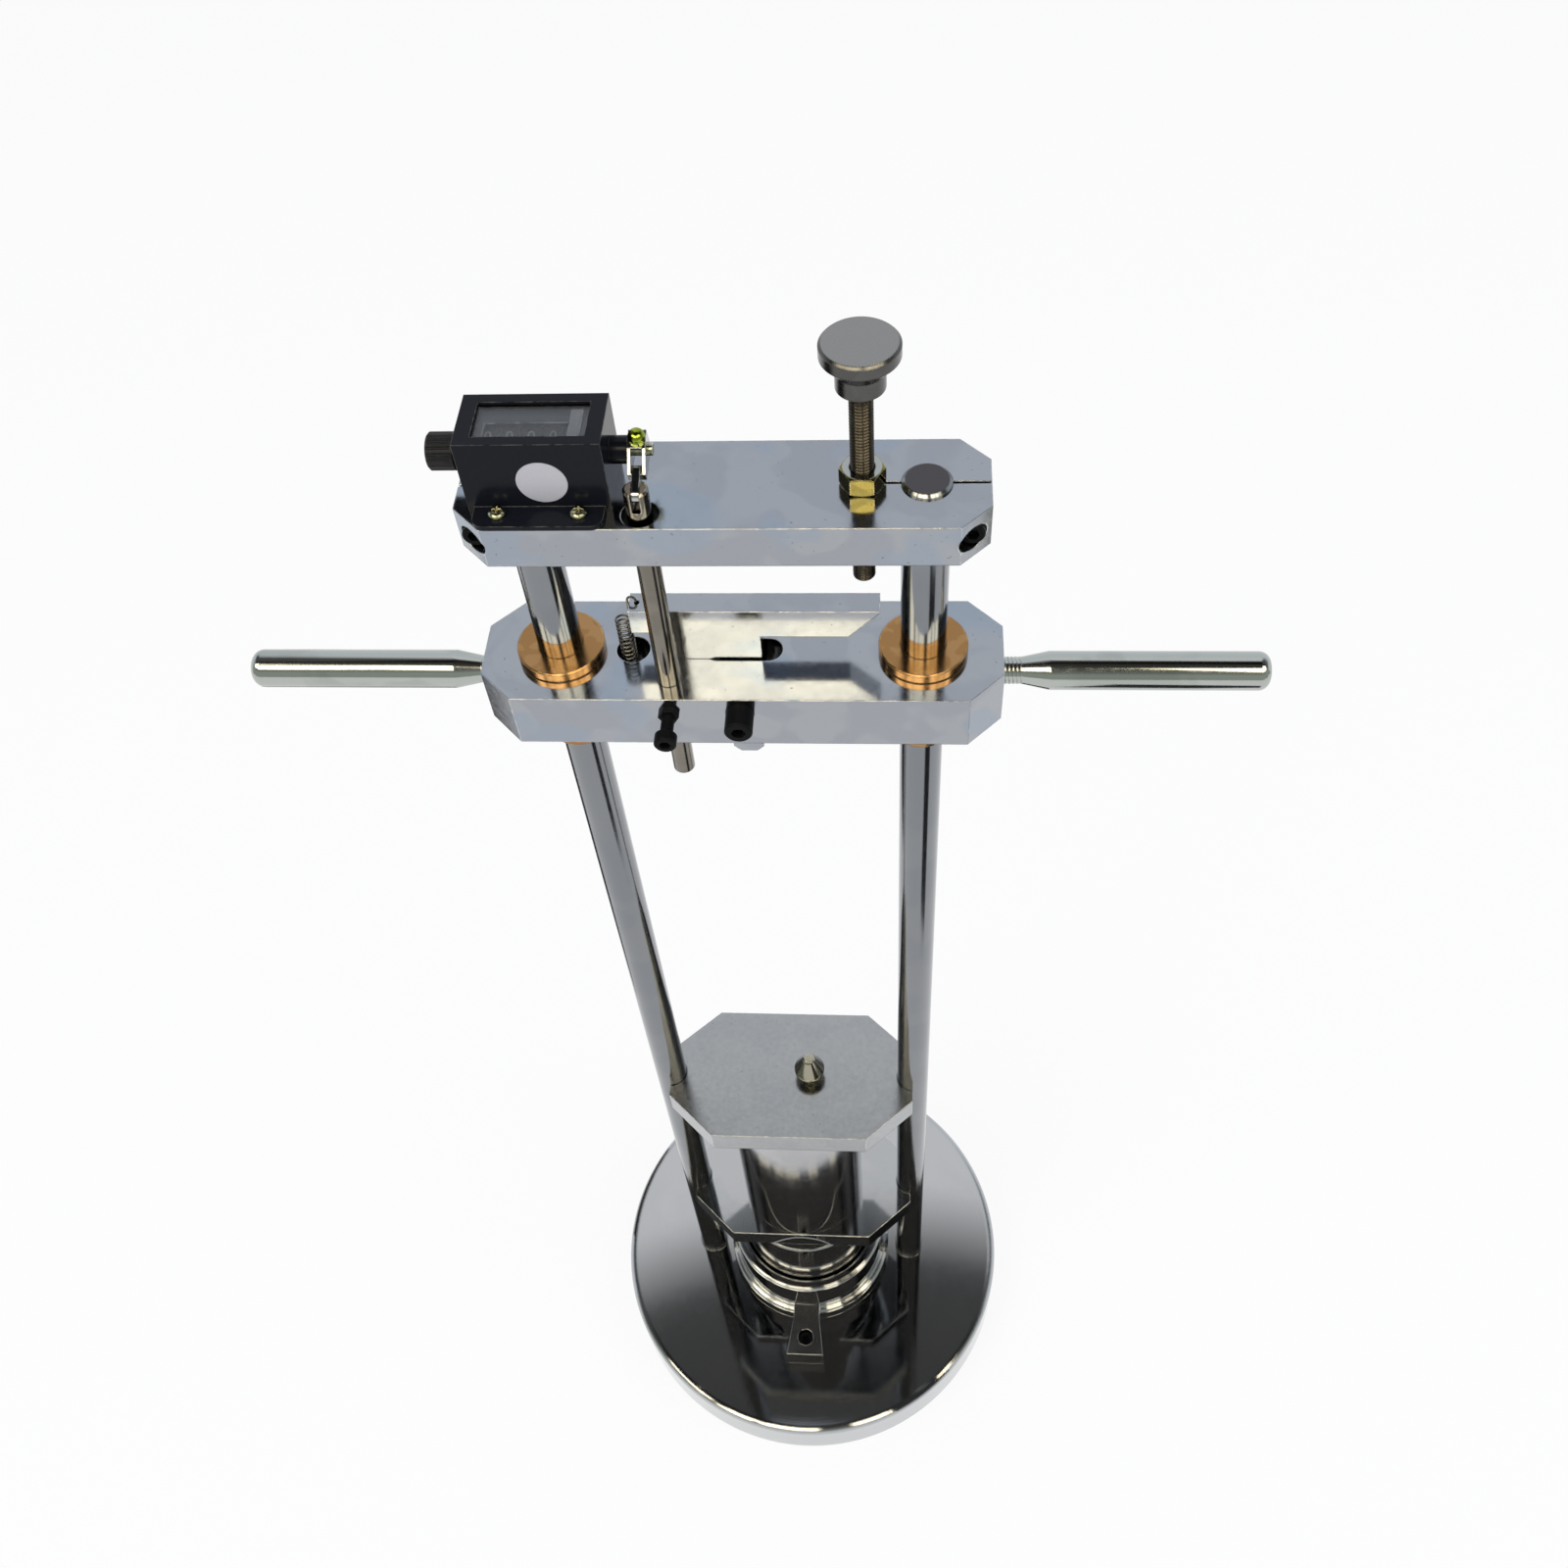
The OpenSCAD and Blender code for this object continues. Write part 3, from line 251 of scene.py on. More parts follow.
finishes = {
    "basePlating": {
        "pale": (0.48, 0.49, 0.5), "stain": (0.45, 0.465, 0.48), "edge": (0.5, 0.5, 0.48),
        "rough": 0.03, "roughSpread": 0.03, "clouds": 18.0, "mottle": 0.5, "rings": (0, 0, 0),
        "bump": 0.01, "edgeWidth": 0.003,
    },
    "clampSteel": {
        "pale": (0.48, 0.49, 0.5), "stain": (0.42, 0.43, 0.44), "edge": (0.62, 0.62, 0.6), "rough": 0.1,
        "roughSpread": 0.08, "clouds": 60.0, "mottle": 0.6, "stretch": (200.0, 8.0, 200.0),
        "bump": 0.02,
    },
    "plateSteel": {
        "pale": (0.375, 0.39, 0.415), "stain": (0.335, 0.352, 0.385), "edge": (0.75, 0.75, 0.74),
        "rough": 0.08, "roughSpread": 0.12, "clouds": 40.0, "mottle": 0.8,
        "stretch": (6.0, 260.0, 260.0), "bump": 0.012, "specks": 0.5,
    },
    "boredPlate": {
        "pale": (0.375, 0.39, 0.415), "stain": (0.335, 0.352, 0.385), "edge": (0.75, 0.75, 0.74),
        "rough": 0.08, "roughSpread": 0.12, "clouds": 40.0, "mottle": 0.8,
        "stretch": (6.0, 260.0, 260.0), "bump": 0.012,
        "patch": {"colour": (0.315, 0.365, 0.435), "clouds": 26.0, "cover": 0.58, "strength": 0.7,
                  "offset": (0.31, 0.17, 0.05)},
        # the near-black colour of the bore walls is painted shade
        "boreShade": {"halfX": 0.0905, "halfY": 0.0245, "colour": (0.05, 0.05, 0.05)}, "specks": 0.6,
    },
    "guideSteel": {
        "pale": (0.385, 0.398, 0.408), "stain": (0.36, 0.375, 0.388), "edge": (0.7, 0.71, 0.72),
        "rough": 0.15, "roughSpread": 0.1, "clouds": 46.0, "mottle": 0.6,
        "stretch": (260.0, 8.0, 260.0), "bump": 0.02, "specks": 0.8,
    },
    "guideMirror": {
        "pale": (0.46, 0.47, 0.48), "stain": (0.41, 0.43, 0.44), "edge": (0.78, 0.79, 0.79),
        "rough": 0.04, "roughSpread": 0.04, "clouds": 30.0, "mottle": 0.5,
        "stretch": (6.0, 260.0, 260.0), "bump": 0.01,
    },
    "columnChrome": {
        "pale": (0.23, 0.24, 0.255), "stain": (0.205, 0.217, 0.235), "edge": (0.34, 0.34, 0.34),
        "rough": 0.09, "roughSpread": 0.05, "clouds": 24.0, "mottle": 0.6,
        "stretch": (300.0, 300.0, 5.0), "bump": 0.008,
        "topFaceReflection": {"above": 0.87, "colour": (0.085, 0.078, 0.082)},
    },
    "handleSteel": {
        "pale": (0.46, 0.48, 0.455), "stain": (0.38, 0.405, 0.38), "edge": (0.72, 0.72, 0.68),
        "rough": 0.05, "roughSpread": 0.07, "clouds": 38.0, "mottle": 0.7,
        "stretch": (14.0, 420.0, 420.0), "bump": 0.02,
    },
    "rodSteel": {
        "pale": (0.215, 0.198, 0.17), "stain": (0.165, 0.152, 0.128), "edge": (0.55, 0.52, 0.44),
        "rough": 0.10, "roughSpread": 0.06, "clouds": 60.0, "mottle": 0.6,
        "stretch": (300.0, 300.0, 8.0), "bump": 0.012,
        "topFaceReflection": {"above": 0.88, "colour": (0.16, 0.13, 0.10)},
    },
    "pinSteel": {
        "pale": (0.40, 0.375, 0.30), "stain": (0.32, 0.30, 0.23), "edge": (0.6, 0.58, 0.5),
        "rough": 0.10, "roughSpread": 0.06, "clouds": 90.0, "mottle": 0.6, "rings": (0.0123, 0, 0),
        "bump": 0.02,
    },
    # the screw's steel is set far darker than bare steel, partly as a painted shade for its thread grooves
    "screwSteel": {
        "pale": (0.05, 0.044, 0.035), "stain": (0.036, 0.031, 0.025), "edge": (0.09, 0.078, 0.058),
        "rough": 0.12, "roughSpread": 0.08, "clouds": 120.0, "mottle": 0.6,
        "stretch": (60.0, 60.0, 60.0), "bump": 0.01,
    },
    "knobNickel": {
        "pale": (0.11, 0.108, 0.105), "stain": (0.09, 0.088, 0.085), "edge": (0.2, 0.194, 0.175),
        "rough": 0.2, "roughSpread": 0.1, "clouds": 80.0, "mottle": 0.6, "rings": (0.055, 0, 0),
        "bump": 0.012, "topFaceReflection": {"above": 0.94, "colour": (0.285, 0.28, 0.268)},
    },
    "barrelSteel": {
        "pale": (0.41, 0.412, 0.42), "stain": (0.365, 0.37, 0.385), "edge": (0.6, 0.6, 0.58),
        "rough": 0.06, "roughSpread": 0.05, "clouds": 26.0, "mottle": 0.6, "rings": (0, 0, 0),
        "bump": 0.01,
    },
    "bronze": {
        "pale": (0.4, 0.225, 0.095), "stain": (0.33, 0.175, 0.065), "edge": (0.62, 0.42, 0.18),
        "rough": 0.13, "roughSpread": 0.12, "clouds": 110.0, "mottle": 0.8, "rings": (0.08, 0, 0),
        "bump": 0.018,
    },
    "yellowZinc": {
        "pale": (0.44, 0.45, 0.32), "stain": (0.33, 0.34, 0.23), "edge": (0.8, 0.76, 0.55),
        "rough": 0.10, "roughSpread": 0.08, "clouds": 220.0, "mottle": 0.8,
        "stretch": (60.0, 60.0, 60.0), "bump": 0.02,
    },
    "nutZinc": {
        "pale": (0.25, 0.205, 0.06), "stain": (0.18, 0.152, 0.05), "edge": (0.55, 0.5, 0.3),
        "rough": 0.06, "roughSpread": 0.06, "clouds": 160.0, "mottle": 0.8,
        "stretch": (60.0, 60.0, 60.0), "bump": 0.02,
        "topFaceReflection": {"above": 0.882, "colour": (0.40, 0.41, 0.40)},
    },
    "greenZinc": {
        "pale": (0.33, 0.4, 0.045), "stain": (0.22, 0.29, 0.03), "edge": (0.7, 0.72, 0.3),
        "rough": 0.08, "roughSpread": 0.06, "clouds": 300.0, "mottle": 1.0,
        "stretch": (60.0, 60.0, 60.0), "bump": 0.02,
    },
    "brightChrome": {
        "pale": (0.5, 0.5, 0.49), "stain": (0.43, 0.43, 0.425), "edge": (0.8, 0.8, 0.78), "rough": 0.06,
        "roughSpread": 0.05, "clouds": 120.0, "mottle": 0.7, "stretch": (60.0, 60.0, 60.0),
        "bump": 0.01,
    },
    "springWire": {
        "pale": (0.16, 0.15, 0.13), "stain": (0.1, 0.095, 0.085), "edge": (0.3, 0.29, 0.27),
        "rough": 0.16, "roughSpread": 0.08, "clouds": 300.0, "mottle": 1.0,
        "stretch": (40.0, 40.0, 40.0), "bump": 0.01,
    },
}


def mixColours(tree, first, second, factorSocket):
    mix = addNode(tree, "ShaderNodeMix", data_type="RGBA")
    mix.inputs["A"].default_value = (*first, 1.0)
    mix.inputs["B"].default_value = (*second, 1.0)
    tree.links.new(factorSocket, mix.inputs["Factor"])
    return mix


def coverColour(tree, under, colour, factorSocket):
    mix = addNode(tree, "ShaderNodeMix", data_type="RGBA")
    mix.inputs["B"].default_value = (*colour, 1.0)
    tree.links.new(under.outputs["Result"], mix.inputs["A"])
    tree.links.new(factorSocket, mix.inputs["Factor"])
    return mix


def addEndFace(tree, under, settings):
    # a painted reflection on a bar's upward top face above a given height: a colour of its own instead of
    # the flank's, dark on the columns and the trip rod, paler on the knob and the nut
    link = tree.links.new
    facing = addNode(tree, "ShaderNodeNewGeometry")
    place = addNode(tree, "ShaderNodeTexCoord")
    tilt = addNode(tree, "ShaderNodeSeparateXYZ")
    height = addNode(tree, "ShaderNodeSeparateXYZ")
    level = addNode(tree, "ShaderNodeMath", {1: levelTilt}, operation="GREATER_THAN")
    high = addNode(tree, "ShaderNodeMath", {1: settings["above"]}, operation="GREATER_THAN")
    both = addNode(tree, "ShaderNodeMath", operation="MULTIPLY")
    link(facing.outputs["Normal"], tilt.inputs[0])
    link(place.outputs["Object"], height.inputs[0])
    link(tilt.outputs["Z"], level.inputs[0])
    link(height.outputs["Z"], high.inputs[0])
    link(level.outputs[0], both.inputs[0])
    link(high.outputs[0], both.inputs[1])
    return coverColour(tree, under, settings["colour"], both.outputs[0])


def addBores(tree, under, settings):
    # painted shade: the upright walls inside a plate's bored holes get a near-black colour
    link = tree.links.new
    facing = addNode(tree, "ShaderNodeNewGeometry")
    place = addNode(tree, "ShaderNodeTexCoord")
    tilt = addNode(tree, "ShaderNodeSeparateXYZ")
    spot = addNode(tree, "ShaderNodeSeparateXYZ")
    link(facing.outputs["Normal"], tilt.inputs[0])
    link(place.outputs["Object"], spot.inputs[0])
    limits = [(tilt.outputs["Z"], wallTilt), (spot.outputs["X"], settings["halfX"]),
              (spot.outputs["Y"], settings["halfY"])]
    inside = []
    for socket, limit in limits:
        size = addNode(tree, "ShaderNodeMath", operation="ABSOLUTE")
        below = addNode(tree, "ShaderNodeMath", {1: limit}, operation="LESS_THAN")
        link(socket, size.inputs[0])
        link(size.outputs[0], below.inputs[0])
        inside.append(below.outputs[0])
    pair = addNode(tree, "ShaderNodeMath", operation="MULTIPLY")
    every = addNode(tree, "ShaderNodeMath", operation="MULTIPLY")
    link(inside[0], pair.inputs[0])
    link(inside[1], pair.inputs[1])
    link(pair.outputs[0], every.inputs[0])
    link(inside[2], every.inputs[1])
    return coverColour(tree, under, settings["colour"], every.outputs[0])


def startMaterial(name):
    material = bpy.data.materials.new(name)
    material.use_nodes = True
    tree = material.node_tree
    return material, tree, tree.nodes["Principled BSDF"]


def finishSurface(tree, shader, colour, settings, clouds, marks, depth):
    # worn edges that also carry a painted edge highlight, a roughness that follows the fine stains, and the
    # marks as a bump
    link = tree.links.new
    wornAndHighlit = addNode(tree, "ShaderNodeGroup", node_tree=edgeWearAndHighlight)
    wornAndHighlit.inputs["Width"].default_value = settings.get("edgeWidth", usualEdgeWidth)
    # the edge colour laid on here is partly wear and partly a painted highlight along the edges
    edged = coverColour(tree, colour, settings["edge"], wornAndHighlit.outputs["Edge"])
    rough = addNode(tree, "ShaderNodeMapRange", {"From Min": 0.25, "From Max": 0.75})
    rough.inputs["To Min"].default_value = settings["rough"]
    rough.inputs["To Max"].default_value = settings["rough"] + settings["roughSpread"]
    bump = addNode(tree, "ShaderNodeBump", {"Distance": depth, "Strength": settings["bump"]})
    link(edged.outputs["Result"], shader.inputs["Base Color"])
    link(clouds.outputs["Fine"], rough.inputs["Value"])
    link(rough.outputs[0], shader.inputs["Roughness"])
    link(marks, bump.inputs["Height"])
    link(wornAndHighlit.outputs["Rounded"], bump.inputs["Normal"])
    link(bump.outputs[0], shader.inputs["Normal"])


def makeMetal(name, settings):
    material, tree, shader = startMaterial(name)
    shader.inputs["Metallic"].default_value = 1.0
    clouds = addNode(tree, "ShaderNodeGroup", node_tree=platingClouds)
    clouds.inputs["Scale"].default_value = settings["clouds"]
    clouds.inputs["Contrast"].default_value = settings["mottle"]
    if "rings" in settings:
        marks = addNode(tree, "ShaderNodeGroup", node_tree=turnedRings)
        marks.inputs["Centre"].default_value = settings["rings"]
    else:
        marks = addNode(tree, "ShaderNodeGroup", node_tree=grindLines)
        marks.inputs["Stretch"].default_value = settings["stretch"]
    colour = mixColours(tree, settings["pale"], settings["stain"], clouds.outputs["Mask"])
    if "patch" in settings:
        patch = addNode(tree, "ShaderNodeGroup", node_tree=platingClouds)
        patch.inputs["Scale"].default_value = settings["patch"]["clouds"]
        patch.inputs["Cover"].default_value = settings["patch"]["cover"]
        patch.inputs["Contrast"].default_value = settings["patch"]["strength"]
        patch.inputs["Offset"].default_value = settings["patch"]["offset"]
        colour = coverColour(tree, colour, settings["patch"]["colour"], patch.outputs["Mask"])
    if "specks" in settings:
        weak = addNode(tree, "ShaderNodeMath", {1: settings["specks"]}, operation="MULTIPLY")
        tree.links.new(clouds.outputs["Specks"], weak.inputs[0])
        colour = coverColour(tree, colour, pitColour, weak.outputs[0])
    # near-black painted shade on the walls inside the holes
    if "boreShade" in settings:
        colour = addBores(tree, colour, settings["boreShade"])
    # painted reflection: the upward top faces get a colour of their own
    if "topFaceReflection" in settings:
        colour = addEndFace(tree, colour, settings["topFaceReflection"])
    finishSurface(tree, shader, colour, settings, clouds, marks.outputs[0], metalMarkDepth)
    return material


def makeCoating(name, settings):
    material, tree, shader = startMaterial(name)
    shader.inputs["Metallic"].default_value = settings["metallic"]
    shader.inputs["Coat Weight"].default_value = settings["coat"]
    shader.inputs["Specular IOR Level"].default_value = settings["specular"]
    clouds = addNode(tree, "ShaderNodeGroup", node_tree=platingClouds)
    clouds.inputs["Scale"].default_value = settings["clouds"]
    colour = mixColours(tree, settings["pale"], settings["stain"], clouds.outputs["Fine"])
    finishSurface(tree, shader, colour, settings, clouds, clouds.outputs["Fine"], coatingMarkDepth)
    return material


coatings = {
    "counterBlack": {
        "pale": (0.006, 0.007, 0.010), "stain": (0.010, 0.011, 0.016), "edge": (0.17, 0.165, 0.145),
        "metallic": 0.0, "coat": 0.0, "specular": 0.1, "clouds": 60.0, "edgeWidth": 0.0005,
        "rough": 0.14, "roughSpread": 0.1, "bump": 0.03,
    },
    "knobBlack": {
        "pale": (0.010, 0.010, 0.011), "stain": (0.018, 0.018, 0.020), "edge": (0.05, 0.05, 0.05),
        "metallic": 0.0, "coat": 0.0, "specular": 0.16, "clouds": 150.0, "edgeWidth": 0.0004,
        "rough": 0.34, "roughSpread": 0.12, "bump": 0.08,
    },
    "blackOxide": {
        "pale": (0.004, 0.0045, 0.005), "stain": (0.008, 0.008, 0.008), "edge": (0.03, 0.03, 0.03),
        "metallic": 0.0, "coat": 0.0, "specular": 0.04, "clouds": 200.0, "edgeWidth": 0.0004,
        "rough": 0.3, "roughSpread": 0.15, "bump": 0.08,
    },
    "wheelBlack": {
        "pale": (0.05, 0.052, 0.06), "stain": (0.07, 0.072, 0.08), "edge": (0.09, 0.09, 0.09),
        "metallic": 0.0, "coat": 0.0, "specular": 0.3, "clouds": 250.0, "edgeWidth": 0.0003,
        "rough": 0.45, "roughSpread": 0.1, "bump": 0.05,
    },
    "digitWhite": {
        "pale": (0.22, 0.23, 0.25), "stain": (0.15, 0.155, 0.17), "edge": (0.4, 0.4, 0.42),
        "metallic": 0.0, "coat": 0.0, "specular": 0.3, "clouds": 300.0, "edgeWidth": 0.0002,
        "rough": 0.5, "roughSpread": 0.1, "bump": 0.03,
    },
    "maskGrey": {
        "pale": (0.034, 0.037, 0.044), "stain": (0.052, 0.056, 0.064), "edge": (0.42, 0.44, 0.48),
        "metallic": 0.0, "coat": 0.2, "specular": 0.4, "clouds": 180.0, "edgeWidth": 0.0006,
        "rough": 0.3, "roughSpread": 0.1, "bump": 0.04,
    },
    "paleNylon": {
        "pale": (0.27, 0.28, 0.30), "stain": (0.20, 0.205, 0.22), "edge": (0.5, 0.5, 0.52),
        "metallic": 0.0, "coat": 0.0, "specular": 0.4, "clouds": 240.0, "edgeWidth": 0.0004,
        "rough": 0.35, "roughSpread": 0.1, "bump": 0.05,
    },
    "labelPaper": {
        "pale": (0.58, 0.57, 0.60), "stain": (0.50, 0.49, 0.52), "edge": (0.36, 0.36, 0.37),
        "metallic": 0.0, "coat": 0.2, "specular": 0.4, "clouds": 160.0, "edgeWidth": 0.0003,
        "rough": 0.4, "roughSpread": 0.12, "bump": 0.06,
    },
}

looks = {name: makeMetal(name, settings) for name, settings in finishes.items()}
looks.update({name: makeCoating(name, settings) for name, settings in coatings.items()})


def makeWindowGlass():
    material, tree, shader = startMaterial("windowClear")
    shader.inputs["Base Color"].default_value = (0.72, 0.745, 0.80, 1.0)
    shader.inputs["Transmission Weight"].default_value = 1.0
    shader.inputs["IOR"].default_value = 1.45
    clouds = addNode(tree, "ShaderNodeGroup", {"Scale": 130.0}, node_tree=platingClouds)
    smear = {"From Min": 0.3, "From Max": 0.8, "To Min": 0.02, "To Max": 0.14}
    rough = addNode(tree, "ShaderNodeMapRange", smear)
    tree.links.new(clouds.outputs["Fine"], rough.inputs["Value"])
    tree.links.new(rough.outputs[0], shader.inputs["Roughness"])
    return material


looks["windowClear"] = makeWindowGlass()

finishOfPart = {
    "base_plate": "basePlating", "cup": "basePlating", "cup_clamp_block": "clampSteel",
    "left_column": "columnChrome", "right_column": "columnChrome",
    "crosshead": "boredPlate", "lift_plate": "boredPlate", "latch_lever": "plateSteel",
    "upper_guide_plate": "guideSteel", "lower_guide_plate": "guideMirror",
    "hammer_head": "barrelSteel", "hammer_barrel": "barrelSteel", "lifting_pin": "pinSteel",
    "left_bush": "bronze", "right_bush": "bronze",
    "left_handle": "handleSteel", "right_handle": "handleSteel",
    "trip_rod": "rodSteel", "rod_cross_pin": "brightChrome", "spring_anchor_pin": "brightChrome",
    "latch_spring": "springWire", "counter_lever": "brightChrome", "lever_shaft": "yellowZinc",
    "lever_screw": "greenZinc", "counter_shaft": "brightChrome", "counter_screws": "yellowZinc",
    "adjusting_screw": "screwSteel", "adjusting_knob": "knobNickel", "lock_nut": "nutZinc",
    "counter_housing": "counterBlack", "shaft_bushing": "counterBlack", "reset_knob": "knobBlack",
    "counter_window": "windowClear", "units_wheel": "wheelBlack", "decade_wheels": "wheelBlack",
    "column_bolts": "blackOxide", "crosshead_clamp_bolts": "blackOxide", "cup_clamp_screw": "blackOxide",
    "latch_pivot_screw": "blackOxide", "rod_drag_screw": "blackOxide", "drag_screw_nut": "blackOxide",
}
for partName, part in nodes.items():
    part.data.materials.clear()
    part.data.materials.append(looks[finishOfPart[partName]])
print("stage: finishes given to", len(finishOfPart), "parts")


# screw threads

def addThread(name, settings, material, body):
    # a threaded rod along its axis, crests at the full radius
    sides = settings["sides"]
    rowsPerTurn = 8
    flankShare = 0.42
    length = settings["length"]
    pitch = settings["pitch"]
    radius = settings["radius"]
    depth = settings["depth"]
    chamfer = settings["chamfer"]
    rows = max(2, int(length / pitch * rowsPerTurn))
    points = []
    for i in range(rows + 1):
        along = length * i / rows
        fromEnd = min(along, length - along)
        cap = radius - max(0.0, chamfer - fromEnd)
        for k in range(sides):
            angle = 2 * math.pi * k / sides
            phase = (along / pitch - k / sides) % 1.0
            groove = depth * max(0.0, 1.0 - abs(phase - 0.5) / flankShare)
            r = min(radius - groove, cap)
            points.append((r * math.cos(angle), r * math.sin(angle), along))
    turn = Vector((0, 0, 1)).rotation_difference(Vector(settings["axis"])).to_matrix()
    start = Vector(settings["start"])
    placed = [start + turn @ Vector(p) for p in points]
    return addMeshPiece(name, placed, ringFaces(rows + 1, sides), material, body)


adjustingThread = {
    "start": (55.0, 0.0, 825.2), "axis": (0, 0, 1), "length": 110.8, "radius": 4.7, "pitch": 1.5,
    "depth": 0.85, "chamfer": 1.0, "sides": 40,
}
screwPiece = addThread("adjustingScrewThread", adjustingThread, looks["screwSteel"], "screw")
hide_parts("adjusting_screw")

handleThreads = {
    "leftHandleThread": {
        "start": (-115.0, 0.0, 764.5), "axis": (-1, 0, 0), "length": 3.6, "radius": 6.25, "pitch": 1.75,
        "depth": 0.85, "chamfer": 0.2, "sides": 44,
    },
    "rightHandleThread": {
        "start": (115.0, 0.0, 764.5), "axis": (1, 0, 0), "length": 8.6, "radius": 6.25, "pitch": 1.75,
        "depth": 0.85, "chamfer": 0.2, "sides": 44,
    },
}
for threadName, settings in handleThreads.items():
    addThread(threadName, settings, looks["handleSteel"], "lift")
print("stage: threads cut")


# latch spring, bent between the plate and the lever

springWire = {
    "radius": 0.55, "coilRadius": 3.1, "turns": 15, "stepsPerTurn": 24, "bendStep": 15, "x": -50.1,
    "low": 760.0, "high": 799.0, "bend": 1.2, "eyeRadius": 2.2, "hookOut": 0.4, "anchorX": -48.0,
    "anchorZ": 753.0, "eyeX": -43.0, "hookTop": 809.7, "hookRise": 2.2, "hookEnd": 805.8, "sides": 10,
}


def sweepTube(path, radius, sides):
    points = []
    count = len(path)
    side = Vector((0, 1, 0))
    for i, point in enumerate(path):
        along = (path[min(i + 1, count - 1)] - path[max(i - 1, 0)]).normalized()
        side = (side - along * side.dot(along)).normalized()
        other = along.cross(side)
        for k in range(sides):
            angle = 2 * math.pi * k / sides
            points.append(point + radius * (math.cos(angle) * side + math.sin(angle) * other))
    return points, ringFaces(count, sides)


def addLatchSpring(settings):
    # an eye round the anchor pin, a bend, the coil, a bend back, and the hook in the lever
    x, low, high = settings["x"], settings["low"], settings["high"]
    coil, bend, eye = settings["coilRadius"], settings["bend"], settings["eyeRadius"]
    step = settings["bendStep"]
    edge = x + coil
    path = []
    for a in range(-180, 91, step):
        t = math.radians(a)
        across = settings["anchorX"] + eye * math.sin(t)
        path.append(Vector((across, 0, settings["anchorZ"] - eye * math.cos(t))))
    for a in range(90, 0, -step):
        t = math.radians(a)
        path.append(Vector((edge, -bend * math.sin(t), low - bend * (1 - math.cos(t)))))
    steps = settings["stepsPerTurn"] * settings["turns"]
    for i in range(steps + 1):
        t = 2 * math.pi * i / settings["stepsPerTurn"]
        path.append(Vector((x + coil * math.cos(t), coil * math.sin(t), low + (high - low) * i / steps)))
    for a in range(step, 91, step):
        t = math.radians(a)
        path.append(Vector((edge, bend * math.sin(t), high + bend * (1 - math.cos(t)))))
    left = edge + settings["hookOut"]
    half = (settings["eyeX"] - left) / 2
    for a in range(180, -1, -step):
        t = math.radians(a)
        rise = settings["hookRise"] * math.sin(t)
        path.append(Vector((left + half * (1 + math.cos(t)), 0, settings["hookTop"] + rise)))
    path.append(Vector((settings["eyeX"], 0, settings["hookEnd"])))
    points, faces = sweepTube(path, settings["radius"], settings["sides"])
    piece = addMeshPiece("latchSpringWire", points, faces, looks["springWire"], None)
    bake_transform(piece)
    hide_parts("latch_spring")


addLatchSpring(springWire)
print("stage: spring wound")


# lower ends of the two bushes and the dome of the lever's screw

bushRing = [
    (10.3, 730.4), (14.6, 730.4), (14.6, 727.0), (14.2, 726.6), (10.7, 726.6), (10.3, 727.0),
]
screwDome = [
    (2.9, 0.2), (3.3, 0.25), (3.45, 0.8), (3.4, 1.5), (3.2, 2.2), (2.8, 2.9), (2.2, 3.45), (1.4, 3.85),
    (0.6, 4.0),
]
turnedEnds = {
    "leftBushEnd": {
        "place": (-80.0, 0.0, 0.0), "lean": 0.0, "look": "bronze", "body": "lift", "profile": bushRing,
        "hollow": True,
    },
    "rightBushEnd": {
        "place": (80.0, 0.0, 0.0), "lean": 0.0, "look": "bronze", "body": "lift", "profile": bushRing,
        "hollow": True,
    },
    "leverScrewDome": {
        "place": (-30.5, 0.56, 899.25), "lean": 15.0, "look": "greenZinc", "body": "lever",
        "profile": screwDome, "hollow": False,
    },
}


def addTurned(name, settings, sides=48):
    # a turned form, either closed at its ends or a ring round a bore
    lean = Matrix.Rotation(math.radians(settings["lean"]), 3, "X")
    place = Vector(settings["place"])
    points = []
    for r, z in settings["profile"]:
        for k in range(sides):
            angle = 2 * math.pi * k / sides
            points.append(place + lean @ Vector((r * math.cos(angle), r * math.sin(angle), z)))
    rows = len(settings["profile"])
    hollow = settings["hollow"]
    faces = ringFaces(rows, sides, not hollow)
    if hollow:
        last = (rows - 1) * sides
        faces += [(last + k, last + (k + 1) % sides, (k + 1) % sides, k) for k in range(sides)]
    addMeshPiece(name, points, faces, looks[settings["look"]], settings["body"], smooth=not hollow)


for turnedName, settings in turnedEnds.items():
    addTurned(turnedName, settings)


# counter: bare round label, numbers and their mask

labelSize = {
    "x": -66.6, "z": 890.5, "y": -14.3, "radius": 10.0, "thick": 0.12, "straight": 0.6, "chamfer": 0.08,
    "sides": 72,
}


def addLabel(settings):
    points = []
    rows = [(0.0, settings["radius"]), (settings["thick"] * settings["straight"], settings["radius"]),
            (settings["thick"], settings["radius"] - settings["chamfer"])]
    for out, r in rows:
        for k in range(settings["sides"]):
            angle = 2 * math.pi * k / settings["sides"]
            across = settings["x"] + r * math.cos(angle)
            points.append((across, settings["y"] - out, settings["z"] + r * math.sin(angle)))
    faces = ringFaces(len(rows), settings["sides"])
    addMeshPiece("roundLabel", points, faces, looks["labelPaper"], "frame", smooth=False)


addLabel(labelSize)

numberWheels = {
    "firstX": -90.7, "pitch": 8.4, "width": 8.0, "shaftY": 1.2, "shaftZ": 893.0, "radius": 10.8,
    "proud": 0.08, "sunk": 0.06, "height": 4.4, "turnPerDigit": 36, "tilt": 22,
}


